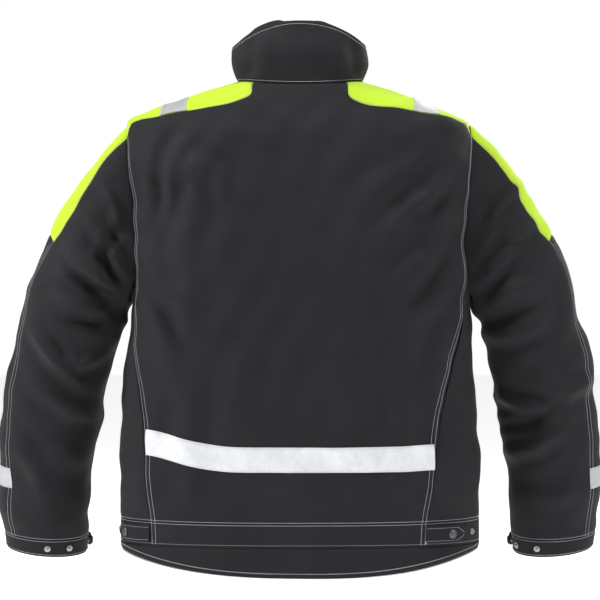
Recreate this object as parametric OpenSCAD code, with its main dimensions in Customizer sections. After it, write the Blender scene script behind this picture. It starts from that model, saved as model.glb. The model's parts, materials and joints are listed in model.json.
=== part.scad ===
// Padded work coat, hung as if worn. The origin is the nape: the middle of the back neck seam.
// +Z is up, -Y is the coat's front, +X is the wearer's left.

/* [Body] */
// Height of the waistband's lower edge, below the nape
hem_z = -674; // [-760:2:-640]
// Half of the coat's width at the hem
hem_half_width = 268; // [256:1:290]
// Half of the coat's width across the shoulder tips
shoulder_half_width = 255; // [248:1:257]
// How far the shoulder blades stand behind the nape
back_fullness = 36; // [20:1:50]
// Distance of the zip from the nape plane, at the hem
front_hem_y = -205; // [-240:1:-190]
// Lean of the zip line for each millimetre of height
front_lean = 0.0915; // [0.06:0.0005:0.11]
// Height of the waistband
band_height = 36; // [28:1:44]
// Depth of the rounded tail below the waistband, at the centre of the back
tail_depth = 44; // [20:1:60]
// Turn of the lower coat about the wearer, in degrees
body_turn = 6; // [0:0.5:8]

/* [Cloth] */
// Thickness of the outer cloth
cloth_t = 2.2; // [1.2:0.1:2.4]
// Thickness of the quilted lining with its wadding
lining_t = 5; // [3:0.5:7]
// Thickness of a reflective tape
tape_t = 0.8; // [0.5:0.1:1.2]
// Width of every reflective tape
tape_w = 38; // [25:1:50]

/* [Collar] */
// Height of the collar at the centre of the back
collar_height = 93; // [60:1:110]
// Half of the collar's width at its top
collar_half_width = 100; // [95:1:106]

/* [Snaps and zips] */
// Radius of a snap stud's post
stud_r = 2.2; // [1.8:0.1:2.6]
// Height of a snap stud's post above its flange
stud_h = 2.4; // [2:0.1:2.6]
// Radius of a snap cap
cap_r = 6.5; // [5:0.5:8]
// Pitch of the front zip's teeth
tooth_pitch = 6; // [5.5:0.5:8]

/* [Hidden] */
$fn = 48;
EPS = 0.3;              // clearance between neighbours that must not touch
GAP = 0.15;             // degrees left free on each side of a seam
SHOULDER_Z = -53;       // top of the armhole
ARM_X = 258.6;          // plane at which the moving sleeve starts
ARM_MID_R = 0.8;        // row of the armhole's middle
ARM_HALF_R = 0.2;       // rows from there to its top and bottom
JOIN_R = 0.67;          // row at which the side panel meets the armhole
PATCH_R = 0.965;        // row at which the bright patch meets the armhole
SIDE_Y = -88;           // plane of the side seams
ZIP_HALF = 5.2;         // half of the gap that the zip fills
BODY_RISE = SHOULDER_Z - hem_z;
BAND_R = band_height / BODY_RISE;
BAND_MID = BAND_R / 2;
LINING_OUT = -4;      // outer face of the lining, from the coat's surface
LINING_IN = LINING_OUT - lining_t;

// ---- curves -----------------------------------------------------------------
function clamp01(x) = max(0, min(1, x));
function ease(t) = let (c = clamp01(t)) c * c * (3 - 2 * c);
function mix(a, b, t) = a + (b - a) * t;
function segment(t, k, i = 0) = i >= len(k) - 2 || t < k[i + 1][0] ? i : segment(t, k, i + 1);
function run(k, a, b) = (k[b][1] - k[a][1]) / (k[b][0] - k[a][0]);
function tangent(k, i) = run(k, max(i - 1, 0), min(i + 1, len(k) - 1));
// A smooth curve through [key, value] pairs
function flow(t, k) =
    let (i = segment(t, k), h = k[i + 1][0] - k[i][0], u = clamp01((t - k[i][0]) / h))
    (2 * u^3 - 3 * u^2 + 1) * k[i][1] + (u^3 - 2 * u^2 + u) * h * tangent(k, i)
    + (3 * u^2 - 2 * u^3) * k[i + 1][1] + (u^3 - u^2) * h * tangent(k, i + 1);

// ---- the coat's surface -----------------------------------------------------
// Rows run 0 at the waistband's lower edge, 1 at the shoulder tip, 2 at the neck seam.
// Each row holds half width, side height, back height, back y, front height, side y, squareness.
function trunk_row(r, half, back_y) =
    [r, [half, mix(hem_z, SHOULDER_Z, r), mix(hem_z, -80, r), back_y, mix(hem_z, -150, r), SIDE_Y, 2.6]];
NECK_ROW = [92, 9, 0, 0, -72, -70, 2.2];
// The rows above the shoulder tip cover less cloth than those below it.
function yoke_key(r) = r < 1 ? r : 1 + 0.22 * (r - 1);
BODY_ROWS = [
    trunk_row(0.00, hem_half_width, 28),
    trunk_row(0.25, hem_half_width - 1, 27),
    trunk_row(0.45, 258, 29),
    trunk_row(0.60, 254, 34),
    trunk_row(0.80, 256, back_fullness),
    trunk_row(1.00, shoulder_half_width, 31),
    [yoke_key(1.20), [228, -36, -57, 25.5, -134, -86, 2.5]],
    [yoke_key(1.50), [172, -14, -32, 16, -112, -80, 2.4]],
    [yoke_key(1.80), [120, 1, -12, 6, -86, -73, 2.3]],
    [yoke_key(2.00), NECK_ROW],
];
// Collar rows run 0 at the neck seam to 1 at the top edge.
COLLAR_ROWS = [
    [0.0, NECK_ROW],
    [0.5, [102, 34, 0.5 * collar_height, 5, -30, -71, 2.2]],
    [1.0, [collar_half_width, 60, collar_height, -4, 12, -71, 2.2]],
];
function front_y(z) = front_hem_y + front_lean * (z - hem_z);
function oval(theta, w) =
    let (c = cos(theta), s = sin(theta), p = 2 / w[6], reach = s > 0 ? w[3] - w[5] : w[5] - front_y(w[4]))
    [w[0] * sign(c) * pow(abs(c), p),
     w[5] + sign(s) * reach * pow(abs(s), p),
     w[1] * c^2 + (s > 0 ? w[2] : w[4]) * s^2];
body_at = function(uv) oval(uv[0], flow(yoke_key(uv[1]), BODY_ROWS));
collar_at = function(uv) oval(uv[0], flow(uv[1], COLLAR_ROWS));
function outward(at, uv, step) =
    let (across = at(uv + [step[0], 0]) - at(uv - [step[0], 0]),
         along = at(uv + [0, step[1]]) - at(uv - [0, step[1]]),
         n = cross(across, along))
    n / norm(n);
function lifted(at, uv, off, step = [1.5, 0.01]) = at(uv) + off * outward(at, uv, step);

// Armhole: 0 at the shoulder tip, 90 at the back, 180 at the armpit, 270 at the front.
function arm_theta(phi) = sign(sin(phi)) * pow(abs(sin(phi)), 0.5) * (19 - 8 * cos(phi));
function arm_uv(phi) = [arm_theta(phi), ARM_MID_R + ARM_HALF_R * cos(phi)];
function arm_edge(r) = arm_theta(acos(max(-1, min(1, (r - ARM_MID_R) / ARM_HALF_R))));

// Sleeve angle: 0 on the outer side, 90 at the front, 180 on the inner side, -90 at the back.
// Sleeve rows hold outer x, outer z, inner x, inner z, half depth, centre y.
SLEEVE_ROWS = [
    [0.000, [ARM_X, SHOULDER_Z, ARM_X, -303, 58, -88]],
    [0.069, [302, -97, 262, -320, 69, -89]],
    [0.162, [343, -157, 267, -346, 71, -90]],
    [0.253, [377, -216, 272, -374, 69, -92]],
    [0.359, [407, -295, 280, -404, 67, -97]],
    [0.497, [434, -393, 291, -450, 63, -106]],
    [0.638, [448, -486, 302, -505, 58, -117]],
    [0.778, [454, -570, 311, -570, 54, -128]],
    [0.899, [454, -635, 319, -639, 49, -138]],
    [1.000, [448, -688, 325, -698, 46, -145]],
];
SLEEVE_TILT = 0.2;
SLEEVE_LENGTH = 690;
function tube_at(phi, s) =
    let (w = flow(s, SLEEVE_ROWS), q = (1 - cos(phi)) / 2, fore = w[4] * sin(phi))
    [mix(w[0], w[2], q), w[5] - fore, mix(w[1], w[3], q) + SLEEVE_TILT * s * fore];
function arm_rim(phi, x) = let (p = body_at(arm_uv(-phi))) [x, p[1], p[2]];
sleeve_at = function(uv)
    tube_at(uv[0], uv[1]) + (arm_rim(uv[0], ARM_X) - tube_at(uv[0], 0)) * (1 - ease(uv[1] / 0.2));

// ---- shells -----------------------------------------------------------------
// A closed solid between two layers of one surface; place(s, t) gives the surface's own coordinates.
function layer(at, place, rows, cols, off, step) =
    [for (i = [0:rows], j = [0:cols]) lifted(at, place(j / cols, i / rows), off, step)];
function skin_faces(rows, cols, base, flip) =
    [for (i = [0:rows - 1], j = [0:cols - 1])
        let (a = base + i * (cols + 1) + j, b = a + 1, c = b + cols + 1, d = c - 1)
        each flip ? [[a, b, c], [a, c, d]] : [[a, c, b], [a, d, c]]];
function border(rows, cols) = concat(
    [for (j = [0:cols - 1]) j],
    [for (i = [0:rows - 1]) i * (cols + 1) + cols],
    [for (j = [0:cols - 1]) rows * (cols + 1) + cols - j],
    [for (i = [0:rows - 1]) (rows - i) * (cols + 1)]);
function rim_faces(path, shift) =
    [for (k = [0:len(path) - 1])
        let (a = path[k], b = path[(k + 1) % len(path)])
        each [[a, b, b + shift], [a, b + shift, a + shift]]];
module shell(at, place, rows, cols, low, high, step = [1.5, 0.01]) {
    n = (rows + 1) * (cols + 1);
    polyhedron(
        points = concat(layer(at, place, rows, cols, high, step), layer(at, place, rows, cols, low, step)),
        faces = concat(skin_faces(rows, cols, 0, false), skin_faces(rows, cols, n, true),
                       rim_faces(border(rows, cols), n)));
}
// A closed ring between two layers, such as a cuff.
module ring(at, first, last, rows, cols, low, high, step = [1.5, 0.01]) {
    n = (rows + 1) * cols;
    pts = [for (off = [high, low], i = [0:rows], j = [0:cols - 1])
        lifted(at, [360 * j / cols, mix(first, last, i / rows)], off, step)];
    wall = [for (i = [0:rows - 1], j = [0:cols - 1])
        let (a = i * cols + j, b = i * cols + (j + 1) % cols, c = b + cols, d = a + cols)
        each [[a, c, b], [a, d, c], [n + a, n + b, n + c], [n + a, n + c, n + d]]];
    ends = [for (j = [0:cols - 1])
        let (a = j, b = (j + 1) % cols, e = rows * cols)
        each [[a, b, n + b], [a, n + b, n + a], [e + b, e + a, n + e + a], [e + b, n + e + a, n + e + b]]];
    polyhedron(points = pts, faces = concat(wall, ends));
}
// Puts a child with its base on a surface, its +Z along the outward normal.
module on_surface(at, uv, off = 0, step = [1.5, 0.01]) {
    n = outward(at, uv, step);
    translate(at(uv) + off * n) rotate([0, acos(n[2]), atan2(n[1], n[0])]) children();
}
// Draws the wearer's left piece as it is (side 1) or mirrored (side -1).
module handed(side) mirror([side < 0 ? 1 : 0, 0, 0]) children();

// ---- seams ------------------------------------------------------------------
SIDE_SEAM = [
    [0, 46.5], [0.06, 45.8], [0.18, 42], [0.27, 40.2], [0.32, 37.9], [0.385, 33],
    [0.48, 24.5], [0.55, 19.8], [0.61, 19.6], [JOIN_R, arm_edge(JOIN_R)],
];
PATCH_EDGE = [
    [PATCH_R, arm_edge(PATCH_R)], [1.03, 21], [1.08, 26], [1.15, 34], [1.28, 44],
    [1.5, 60], [1.7, 62], [2, 44],
];
function turned(r, side) = flow(r, SIDE_SEAM) - side * body_turn * ease((JOIN_R - r) / 0.25);
function back_edge(r, side) = r < JOIN_R ? turned(r, side) : r < PATCH_R ? arm_edge(r) : flow(r, PATCH_EDGE);
function front_edge(r) = back_edge(r, 0);
function zip_edge(r, half = ZIP_HALF) =
    let (w = flow(yoke_key(r), BODY_ROWS)) -acos(pow(half / w[0], w[6] / 2));
function lining_edge(r) = max(GAP, arm_edge(r));

// ---- body panels ------------------------------------------------------------
// Spaces the rows of a panel closer together round the shoulder.
function shoulder_rows(t) = t + 0.09 * sin(360 * t);
module back_panel() color("#2b2b2e")
    shell(body_at,
          function(s, t) let (r = mix(BAND_R, 2, shoulder_rows(t)))
              [mix(back_edge(r, 1) + GAP, 180 - back_edge(r, -1) - GAP, s), r],
          28, 16, -cloth_t, 0);
module front_panel(side) color("#2b2b2e") handed(side)
    shell(body_at,
          function(s, t) let (r = mix(BAND_R, 2, shoulder_rows(t)))
              [mix(zip_edge(r), -front_edge(r) - GAP, s), r],
          28, 8, -cloth_t, 0);
module side_panel(side) color("#262629") handed(side)
    shell(body_at,
          function(s, t)
              let (q = arm_uv(180 + (0.5 - s) * 99),
                   r = mix(BAND_R, q[1] - 0.001, t),
                   fore = -front_edge(r) + 3 * GAP,
                   rear = back_edge(r, side) - 3 * GAP)
              [max(fore, min(rear, mix(mix(fore, rear, s), q[0] * 0.993, t^3))), r],
          16, 8, -cloth_t, 0);
module shoulder_patch(side) color("#c6ff1a") handed(side)
    shell(body_at,
          function(s, t)
              let (r = mix(PATCH_R, 2, pow(t, 1.4)), e = flow(r, PATCH_EDGE) - 5 * GAP)
              [mix(-e, e, s), r + 0.033 * (1 - (2 * s - 1)^2) * (1 - t)],
          12, 14, -cloth_t, 0);
module shoulder_tape(side) color("#c9cbcd") handed(side)
    shell(body_at,
          function(s, t)
              [(mix(34, 44, t) - 0.8) * (2 * s - 1), mix(1.34, 1.53, t) - mix(0.19, 0.25, t) * (2 * s - 1)^2],
          2, 12, 0.4, 0.4 + tape_t);
// The back tape's lower edge rises at its left-hand end, as the cloth has settled there.
function tape_low(s) = 0.1835 + 0.032 * (1 - ease(s / 0.42));
TAPE_END_R = 0.185;
module back_tape() color("#d9dbdd")
    shell(body_at,
          function(s, t)
              let (a = back_edge(0.2, 1) + 1, b = 180 - back_edge(0.2, -1) - 1, theta = mix(a, b, s),
                   low = tape_low(s))
              [theta, mix(low, low + tape_w / BODY_RISE, t)],
          1, 16, 0.15, 0.15 + tape_t);
module front_tape(side) color("#d9dbdd") handed(side)
    shell(body_at,
          function(s, t)
              [mix(-86, -front_edge(0.2) - 1, s), mix(TAPE_END_R, TAPE_END_R + tape_w / BODY_RISE, t)],
          1, 8, 0.15, 0.15 + tape_t);

// ---- waistband, tail and hem zip --------------------------------------------
module waistband_back() color("#2b2b2e")
    shell(body_at,
          function(s, t) let (r = mix(0, BAND_R - 0.001, t))
              [mix(back_edge(r, 1) + GAP, 180 - back_edge(r, -1) - GAP, s), r],
          1, 16, -cloth_t, 0);
module waistband_side(side) color("#2b2b2e") handed(side)
    shell(body_at,
          function(s, t) let (r = mix(0, BAND_R - 0.001, t))
              [mix(zip_edge(r), back_edge(r, side) - GAP, s), r],
          1, 20, -cloth_t, 0);
SIDE_DROP = 8;
function tail_drop(theta) = mix(SIDE_DROP, tail_depth, pow(clamp01(sin(theta)), 2.2));
// Tail rows run -1 at the hem's edge to 0 at the waistband.
tail_at = function(uv) body_at([uv[0], 0]) + [0, 0, -0.25 + uv[1] * tail_drop(uv[0])];
module hem_tail() color("#2b2b2e")
    shell(tail_at, function(s, t) [mix(-88, 268, s), t - 1], 3, 44, -cloth_t, 0, [1.5, 0.1]);
module hem_zip() color("#8a8a90")
    shell(tail_at, function(s, t) [mix(4, 176, s), mix(-1.05, -0.78, t)], 1, 28,
          -cloth_t - 2.3, -cloth_t - 0.7, [1.5, 0.1]);

// ---- collar -----------------------------------------------------------------
module collar_part(first, bottom, low, high)
    shell(collar_at, function(s, t) [mix(first, 180 - first, s), mix(bottom, 1, t)], 5, 34, low, high,
          [1.5, 0.02]);
module collar_outer() color("#2f2f33") collar_part(-87.5, 0.03, -cloth_t, 0);
module collar_lining() color("#3a3a3e") collar_part(-79.5, 0.05, -cloth_t - 3.8, -cloth_t - 0.9);

// ---- lining -----------------------------------------------------------------
LINING_STEP = [3, 0.03];
module lining_back() color("#4a4a50")
    shell(body_at,
          function(s, t) let (r = mix(0.012, 1.95, shoulder_rows(t)), e = lining_edge(r))
              [mix(e, 180 - e, s), r],
          24, 14, LINING_IN, LINING_OUT, LINING_STEP);
module lining_front(side) color("#4a4a50") handed(side)
    shell(body_at,
          function(s, t) let (r = mix(0.012, 1.95, shoulder_rows(t)))
              [mix(zip_edge(r, 24), -lining_edge(r), s), r],
          24, 8, LINING_IN, LINING_OUT, LINING_STEP);
module wind_flap() color("#333337")
    shell(body_at,
          function(s, t) let (r = mix(0.02, 1.94, t)) [-90 + (90 + zip_edge(r, 22)) * (2 * s - 1), r],
          16, 4, -6.4, -5);

// ---- armhole bindings -------------------------------------------------------
// A bound edge carries the body's armhole out to one flat plane, where the sleeve starts.
rim_at = function(uv) let (p = body_at(arm_uv(-uv[0]))) [mix(p[0], ARM_X - 0.9, uv[1]), p[1], p[2]];
module armhole_bindings() color("#262629")
    for (side = [-1, 1]) handed(side) ring(rim_at, 0.08, 1, 1, 40, -cloth_t, 0, [3, 0.05]);

// ---- hang loop --------------------------------------------------------------
LOOP_HALF = 32;         // half of the loop's length between its sewn ends
LOOP_W = 8;             // width of its tape
LOOP_SLACK = 9;         // how far it stands off the lining at its middle
LOOP_Y = -12.2;         // the lining face that it is sewn to
function loop_point(i) =
    let (x = LOOP_HALF * (i / 8 - 1)) [x, LOOP_Y - LOOP_SLACK * pow(cos(90 * i / 8 - 90), 1.2)];
module hang_loop() color("#1d1d1f")
    translate([0, 0, -LOOP_W - 2]) linear_extrude(LOOP_W)
        polygon(concat([for (i = [0:16]) loop_point(i)], [for (i = [16:-1:0]) loop_point(i) - [0, 1.2]]));

// ---- front zip --------------------------------------------------------------
ZIP_LOW = hem_z + 3;
ZIP_HIGH = 2;
SLIDER_Z = -2;
ZIP_LEAN = atan(front_lean);
ZIP_LEN = (ZIP_HIGH - ZIP_LOW) / cos(ZIP_LEAN);
// A child's +Z runs up the zip line from height z on the coat's front edge; -Y is outwards.
module on_zip(z) { translate([0, front_y(z), z]) rotate([-ZIP_LEAN, 0, 0]) children(); }
module zip_tapes() color("#1a1a1c")
    on_zip(ZIP_LOW) for (side = [-1, 1]) translate([side * 11 - 7.2, 3.2, 0]) cube([14.4, 1, ZIP_LEN]);
module zip_tooth(side) translate([side * 1.7 - 2.5, -0.8, 0]) cube([5, 3.8, 2.3]);
module zip_teeth() color("#3c3c40")
    on_zip(ZIP_LOW) {
        for (i = [0:floor(ZIP_LEN / tooth_pitch) - 2]) {
            translate([0, 0, 6 + i * tooth_pitch]) zip_tooth(1);
            translate([0, 0, 6 + (i + 0.5) * tooth_pitch]) zip_tooth(-1);
        }
        translate([-4.4, -1.2, -1]) cube([8.8, 4.2, 5]);
    }
PIN_Y = -4.6;
PIN_Z = -5.6;
module zip_slider() color("#5b5b5f")
    on_zip(SLIDER_Z) {
        translate([-4.8, -2.4, -12]) cube([9.6, 1.2, 12]);
        for (side = [-1, 1]) translate([side * 4.6 - 0.2, -1.3, -12]) cube([0.4, 3.6, 12]);
        difference() {
            translate([-1.6, -6.4, -8.6]) cube([3.2, 4.1, 6]);
            translate([0, PIN_Y, PIN_Z]) rotate([0, 90, 0]) cylinder(h = 8, r = 1.3, center = true);
        }
    }
module zip_puller() color("#6a6a6e")
    on_zip(SLIDER_Z) translate([0, PIN_Y, PIN_Z]) {
        rotate([0, 90, 0]) cylinder(h = 9, r = 1, center = true);
        for (side = [-1, 1]) translate([side * 3.7 - 0.8, -0.9, -12]) cube([1.6, 1.8, 12.5]);
        translate([-4.5, -0.9, -38]) cube([9, 1.8, 26.5]);
    }

// ---- hand pockets -----------------------------------------------------------
module hand_pocket(side) color("#262629") handed(side)
    shell(body_at, function(s, t) [mix(-54, -48, s) + 10 * t, mix(0.26, 0.50, t)], 8, 1, 0.3, 1.9);

// ---- snaps ------------------------------------------------------------------
STUD_OFF = 0.25;
module snap_cap() {
    cylinder(h = 0.9, r = cap_r);
    translate([0, 0, 0.9]) cylinder(h = 0.7, r = 0.77 * cap_r);
}
module snap_stud() {
    cylinder(h = 0.8, r = 4.7);
    cylinder(h = 0.8 + stud_h, r = stud_r);
}

// ---- waist tabs -------------------------------------------------------------
// Angles of a waist tab on each side: sewn end, pointed tip, snapped stud, free stud.
LEFT_TAB = [39.5, 13, 22, 2];
RIGHT_TAB = [52.5, 31, 39.5, 21.5];
TAB_T = 1.6;
TAB_REST = 0.5;         // gap below a tab at its sewn end
TAB_RAISE = 3.5;        // extra gap over the stud
function tab_low(q) = TAB_REST + TAB_RAISE * ease(q / 0.35);
function tab_half(q) = min(1, 0.06 + (1 - q) / 0.24);
// A strip that follows a surface from its sewn end (q = 0) to its pointed tip (q = 1)
module tab(at, root, tip, mid, half, step) {
    strip = function(uv) let (q = (uv[0] - root) / (tip - root)) lifted(at, uv, tab_low(q), step);
    back = tip < root;
    shell(strip,
          function(s, t) let (q = back ? 1 - s : s)
              [mix(root, tip, q), mid + half * tab_half(q) * (2 * t - 1)],
          2, 16, 0, TAB_T, step);
}
module waist_tab(side, a) color("#2b2b2e") handed(side)
    tab(body_at, a[0], a[1], BAND_MID, 0.36 * BAND_R, [1.5, 0.01]);
module waist_cap(side, a) color("#55554f") handed(side)
    on_surface(body_at, [a[2], BAND_MID], TAB_REST + TAB_RAISE + TAB_T + EPS) snap_cap();
module stud_pair(side, a) handed(side)
    for (theta = [a[2], a[3]]) on_surface(body_at, [theta, BAND_MID], STUD_OFF) snap_stud();
module waist_studs() color("#6a6a64") {
    stud_pair(1, LEFT_TAB);
    stud_pair(-1, RIGHT_TAB);
}

// ---- sleeves ----------------------------------------------------------------
SLEEVE_STEP = [3, 0.01];
SLEEVE_START = 0.012;
CUFF_S = 0.955;         // where the cuff starts along the sleeve
CUFF_MID = (1 + CUFF_S) / 2;
STRIPE_END_S = 0.253;   // where the bright stripe ends along the sleeve
STRIPE_EDGE = [
    [0, 33], [0.07, 31], [0.16, 38], [0.22, 36], [0.25, 31], [0.3, 28], [0.36, 27], [0.5, 36], [0.64, 40],
    [0.8, 44], [1, 50],
];
function stripe_half(s) = flow(s, STRIPE_EDGE);
module sleeve_back(side) color("#262629") handed(side)
    shell(sleeve_at,
          function(s, t) let (k = mix(SLEEVE_START, CUFF_S - 0.001, t))
              [mix(-180 + GAP, -stripe_half(k) - 4 * GAP, s), k],
          18, 9, -cloth_t, 0, SLEEVE_STEP);
module sleeve_front(side) color("#262629") handed(side)
    shell(sleeve_at,
          function(s, t) let (k = mix(SLEEVE_START, CUFF_S - 0.001, t))
              [mix(stripe_half(k) + 4 * GAP, 180 - GAP, s), k],
          18, 9, -cloth_t, 0, SLEEVE_STEP);
module sleeve_stripe(side) color("#c6ff1a") handed(side)
    shell(sleeve_at,
          function(s, t) let (k = mix(SLEEVE_START, STRIPE_END_S - 0.001, t))
              [stripe_half(k) * (2 * s - 1), k],
          6, 4, -cloth_t, 0, SLEEVE_STEP);
module sleeve_strip(side) color("#2b2b2e") handed(side)
    shell(sleeve_at,
          function(s, t) let (k = mix(STRIPE_END_S + 0.001, CUFF_S - 0.001, t))
              [stripe_half(k) * (2 * s - 1), k],
          12, 5, -cloth_t, 0, SLEEVE_STEP);
module sleeve_tape(side) color("#b9bbbd") handed(side)
    shell(sleeve_at,
          function(s, t) let (k = mix(0.765, 0.765 + tape_w / SLEEVE_LENGTH, t))
              [(stripe_half(k) - 2) * (2 * s - 1), k],
          1, 6, 0.8, 0.8 + tape_t, SLEEVE_STEP);
module cuff(side) color("#2b2b2e") handed(side)
    ring(sleeve_at, CUFF_S + 0.001, 1, 1, 32, -cloth_t, 0, SLEEVE_STEP);
module sleeve_lining(side) color("#4a4a50") handed(side)
    ring(sleeve_at, 0.02, 0.985, 14, 20, LINING_IN, LINING_OUT, SLEEVE_STEP);
CUFF_SNAP = 168;        // angle of the stud that the cuff tab closes on
module cuff_studs(side, free) color("#6a6a64") handed(side)
    for (phi = concat(free, [CUFF_SNAP]))
        on_surface(sleeve_at, [phi, CUFF_MID], STUD_OFF, SLEEVE_STEP) snap_stud();
module cuff_tab(side) color("#2b2b2e") handed(side)
    tab(sleeve_at, 105, 180, CUFF_MID, 0.0165, SLEEVE_STEP);
module cuff_cap(side) color("#55554f") handed(side)
    on_surface(sleeve_at, [CUFF_SNAP, CUFF_MID], TAB_REST + TAB_RAISE + TAB_T + EPS, SLEEVE_STEP) snap_cap();

back_panel();
side_panel(1);  // side_panel_left
side_panel(-1);  // side_panel_right
front_panel(1);  // front_panel_left
front_panel(-1);  // front_panel_right
shoulder_patch(1);  // shoulder_patch_left
shoulder_patch(-1);  // shoulder_patch_right
shoulder_tape(1);  // shoulder_tape_left
shoulder_tape(-1);  // shoulder_tape_right
back_tape();
front_tape(1);  // front_tape_left
front_tape(-1);  // front_tape_right
waistband_back();
waistband_side(1);  // waistband_left
waistband_side(-1);  // waistband_right
hem_tail();
hem_zip();
collar_outer();
collar_lining();
lining_back();
lining_front(1);  // lining_left
lining_front(-1);  // lining_right
wind_flap();
armhole_bindings();
hang_loop();
zip_tapes();
zip_teeth();
hand_pocket(1);  // hand_pocket_left
hand_pocket(-1);  // hand_pocket_right
waist_studs();
zip_slider();
zip_puller();
waist_tab(1, LEFT_TAB);  // waist_tab_left
waist_cap(1, LEFT_TAB);  // waist_cap_left
waist_tab(-1, RIGHT_TAB);  // waist_tab_right
waist_cap(-1, RIGHT_TAB);  // waist_cap_right
sleeve_back(1);  // sleeve_back_left
sleeve_front(1);  // sleeve_front_left
sleeve_stripe(1);  // sleeve_stripe_left
sleeve_strip(1);  // sleeve_strip_left
sleeve_tape(1);  // sleeve_tape_left
cuff(1);  // cuff_left
sleeve_lining(1);  // sleeve_lining_left
cuff_studs(1, [-96, -128]);  // cuff_studs_left
cuff_tab(1);  // cuff_tab_left
cuff_cap(1);  // cuff_cap_left
sleeve_back(-1);  // sleeve_back_right
sleeve_front(-1);  // sleeve_front_right
sleeve_stripe(-1);  // sleeve_stripe_right
sleeve_strip(-1);  // sleeve_strip_right
sleeve_tape(-1);  // sleeve_tape_right
cuff(-1);  // cuff_right
sleeve_lining(-1);  // sleeve_lining_right
cuff_studs(-1, [-118, -157]);  // cuff_studs_right
cuff_tab(-1);  // cuff_tab_right
cuff_cap(-1);  // cuff_cap_right
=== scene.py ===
"""Padded work coat, hung as if worn, dressed in cloth, tape, thread and metal on its CAD frame."""
import json
import logging
import math
from dataclasses import dataclass, field
from enum import Enum
from typing import Any, Callable, Iterable, Sequence

import bmesh
import bpy
import numpy as np
from mathutils import Matrix, Vector

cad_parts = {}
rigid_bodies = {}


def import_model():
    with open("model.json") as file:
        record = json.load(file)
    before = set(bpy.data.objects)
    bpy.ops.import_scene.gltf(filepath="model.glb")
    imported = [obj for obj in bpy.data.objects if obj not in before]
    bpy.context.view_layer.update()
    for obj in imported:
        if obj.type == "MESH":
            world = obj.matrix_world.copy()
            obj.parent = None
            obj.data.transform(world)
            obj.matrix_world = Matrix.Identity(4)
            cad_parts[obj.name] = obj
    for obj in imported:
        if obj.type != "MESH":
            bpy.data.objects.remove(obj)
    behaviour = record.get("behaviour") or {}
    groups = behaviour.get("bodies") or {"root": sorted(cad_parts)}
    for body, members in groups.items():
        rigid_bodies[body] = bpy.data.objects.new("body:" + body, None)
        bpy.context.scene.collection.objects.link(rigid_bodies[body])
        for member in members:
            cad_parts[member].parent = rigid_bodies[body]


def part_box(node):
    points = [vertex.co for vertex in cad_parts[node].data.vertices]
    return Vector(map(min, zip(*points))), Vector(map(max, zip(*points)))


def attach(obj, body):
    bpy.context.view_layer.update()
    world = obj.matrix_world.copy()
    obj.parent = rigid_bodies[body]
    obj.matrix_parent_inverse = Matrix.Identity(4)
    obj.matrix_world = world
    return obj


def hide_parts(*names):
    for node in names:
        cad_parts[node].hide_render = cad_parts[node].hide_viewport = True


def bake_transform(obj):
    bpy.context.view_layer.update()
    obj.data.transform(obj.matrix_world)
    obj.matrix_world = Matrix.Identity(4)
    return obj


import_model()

log = logging.getLogger("coat")
Array = np.ndarray
Place = Callable[[Array, Array], tuple[Array, Array]]


class Side(Enum):
    """The wearer's left (+X) or right (-X)."""

    LEFT = 1
    RIGHT = -1

    @property
    def tag(self) -> str:
        """The side's ending in piece and node names."""
        return "left" if self is Side.LEFT else "right"


class Face(Enum):
    """Which face of the coat a fold lies on."""

    BACK = 1
    FRONT = -1
    BOTH = 0


# ---- curves -------------------------------------------------------------------
def ease(t: Array | float) -> Array:
    """Smooth step from 0 to 1 as t goes from 0 to 1."""
    c = np.clip(t, 0.0, 1.0)
    return c * c * (3 - 2 * c)


def mix(a: Any, b: Any, t: Any) -> Any:
    """Straight blend from a to b."""
    return a + (b - a) * t


class Flow:
    """A smooth curve through keyed values, the same rule as the CAD source uses."""

    def __init__(self, keys: Sequence[float], values: Sequence[Any]) -> None:
        """Args: keys: rising keys. values: one number or row of numbers a key."""
        self.k = np.asarray(keys, float)
        self.v = np.asarray(values, float).reshape(len(keys), -1)
        n = len(keys)
        lo, hi = np.maximum(np.arange(n) - 1, 0), np.minimum(np.arange(n) + 1, n - 1)
        self.m = (self.v[hi] - self.v[lo]) / (self.k[hi] - self.k[lo])[:, None]

    def __call__(self, t: Array) -> Array:
        """Values at t.

        Args:
            t: array of keys, of any shape.

        Returns:
            Array of t's shape with one more axis for the row.
        """
        t = np.asarray(t, float)
        i = np.clip(np.searchsorted(self.k, t, side="right") - 1, 0, len(self.k) - 2)
        h = self.k[i + 1] - self.k[i]
        u = np.clip((t - self.k[i]) / h, 0, 1)[..., None]
        h = h[..., None]
        return ((2 * u**3 - 3 * u**2 + 1) * self.v[i] + (u**3 - 2 * u**2 + u) * h * self.m[i]
                + (3 * u**2 - 2 * u**3) * self.v[i + 1] + (u**3 - u**2) * h * self.m[i + 1])

    def one(self, t: Array) -> Array:
        """The first column alone."""
        return self(t)[..., 0]


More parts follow.
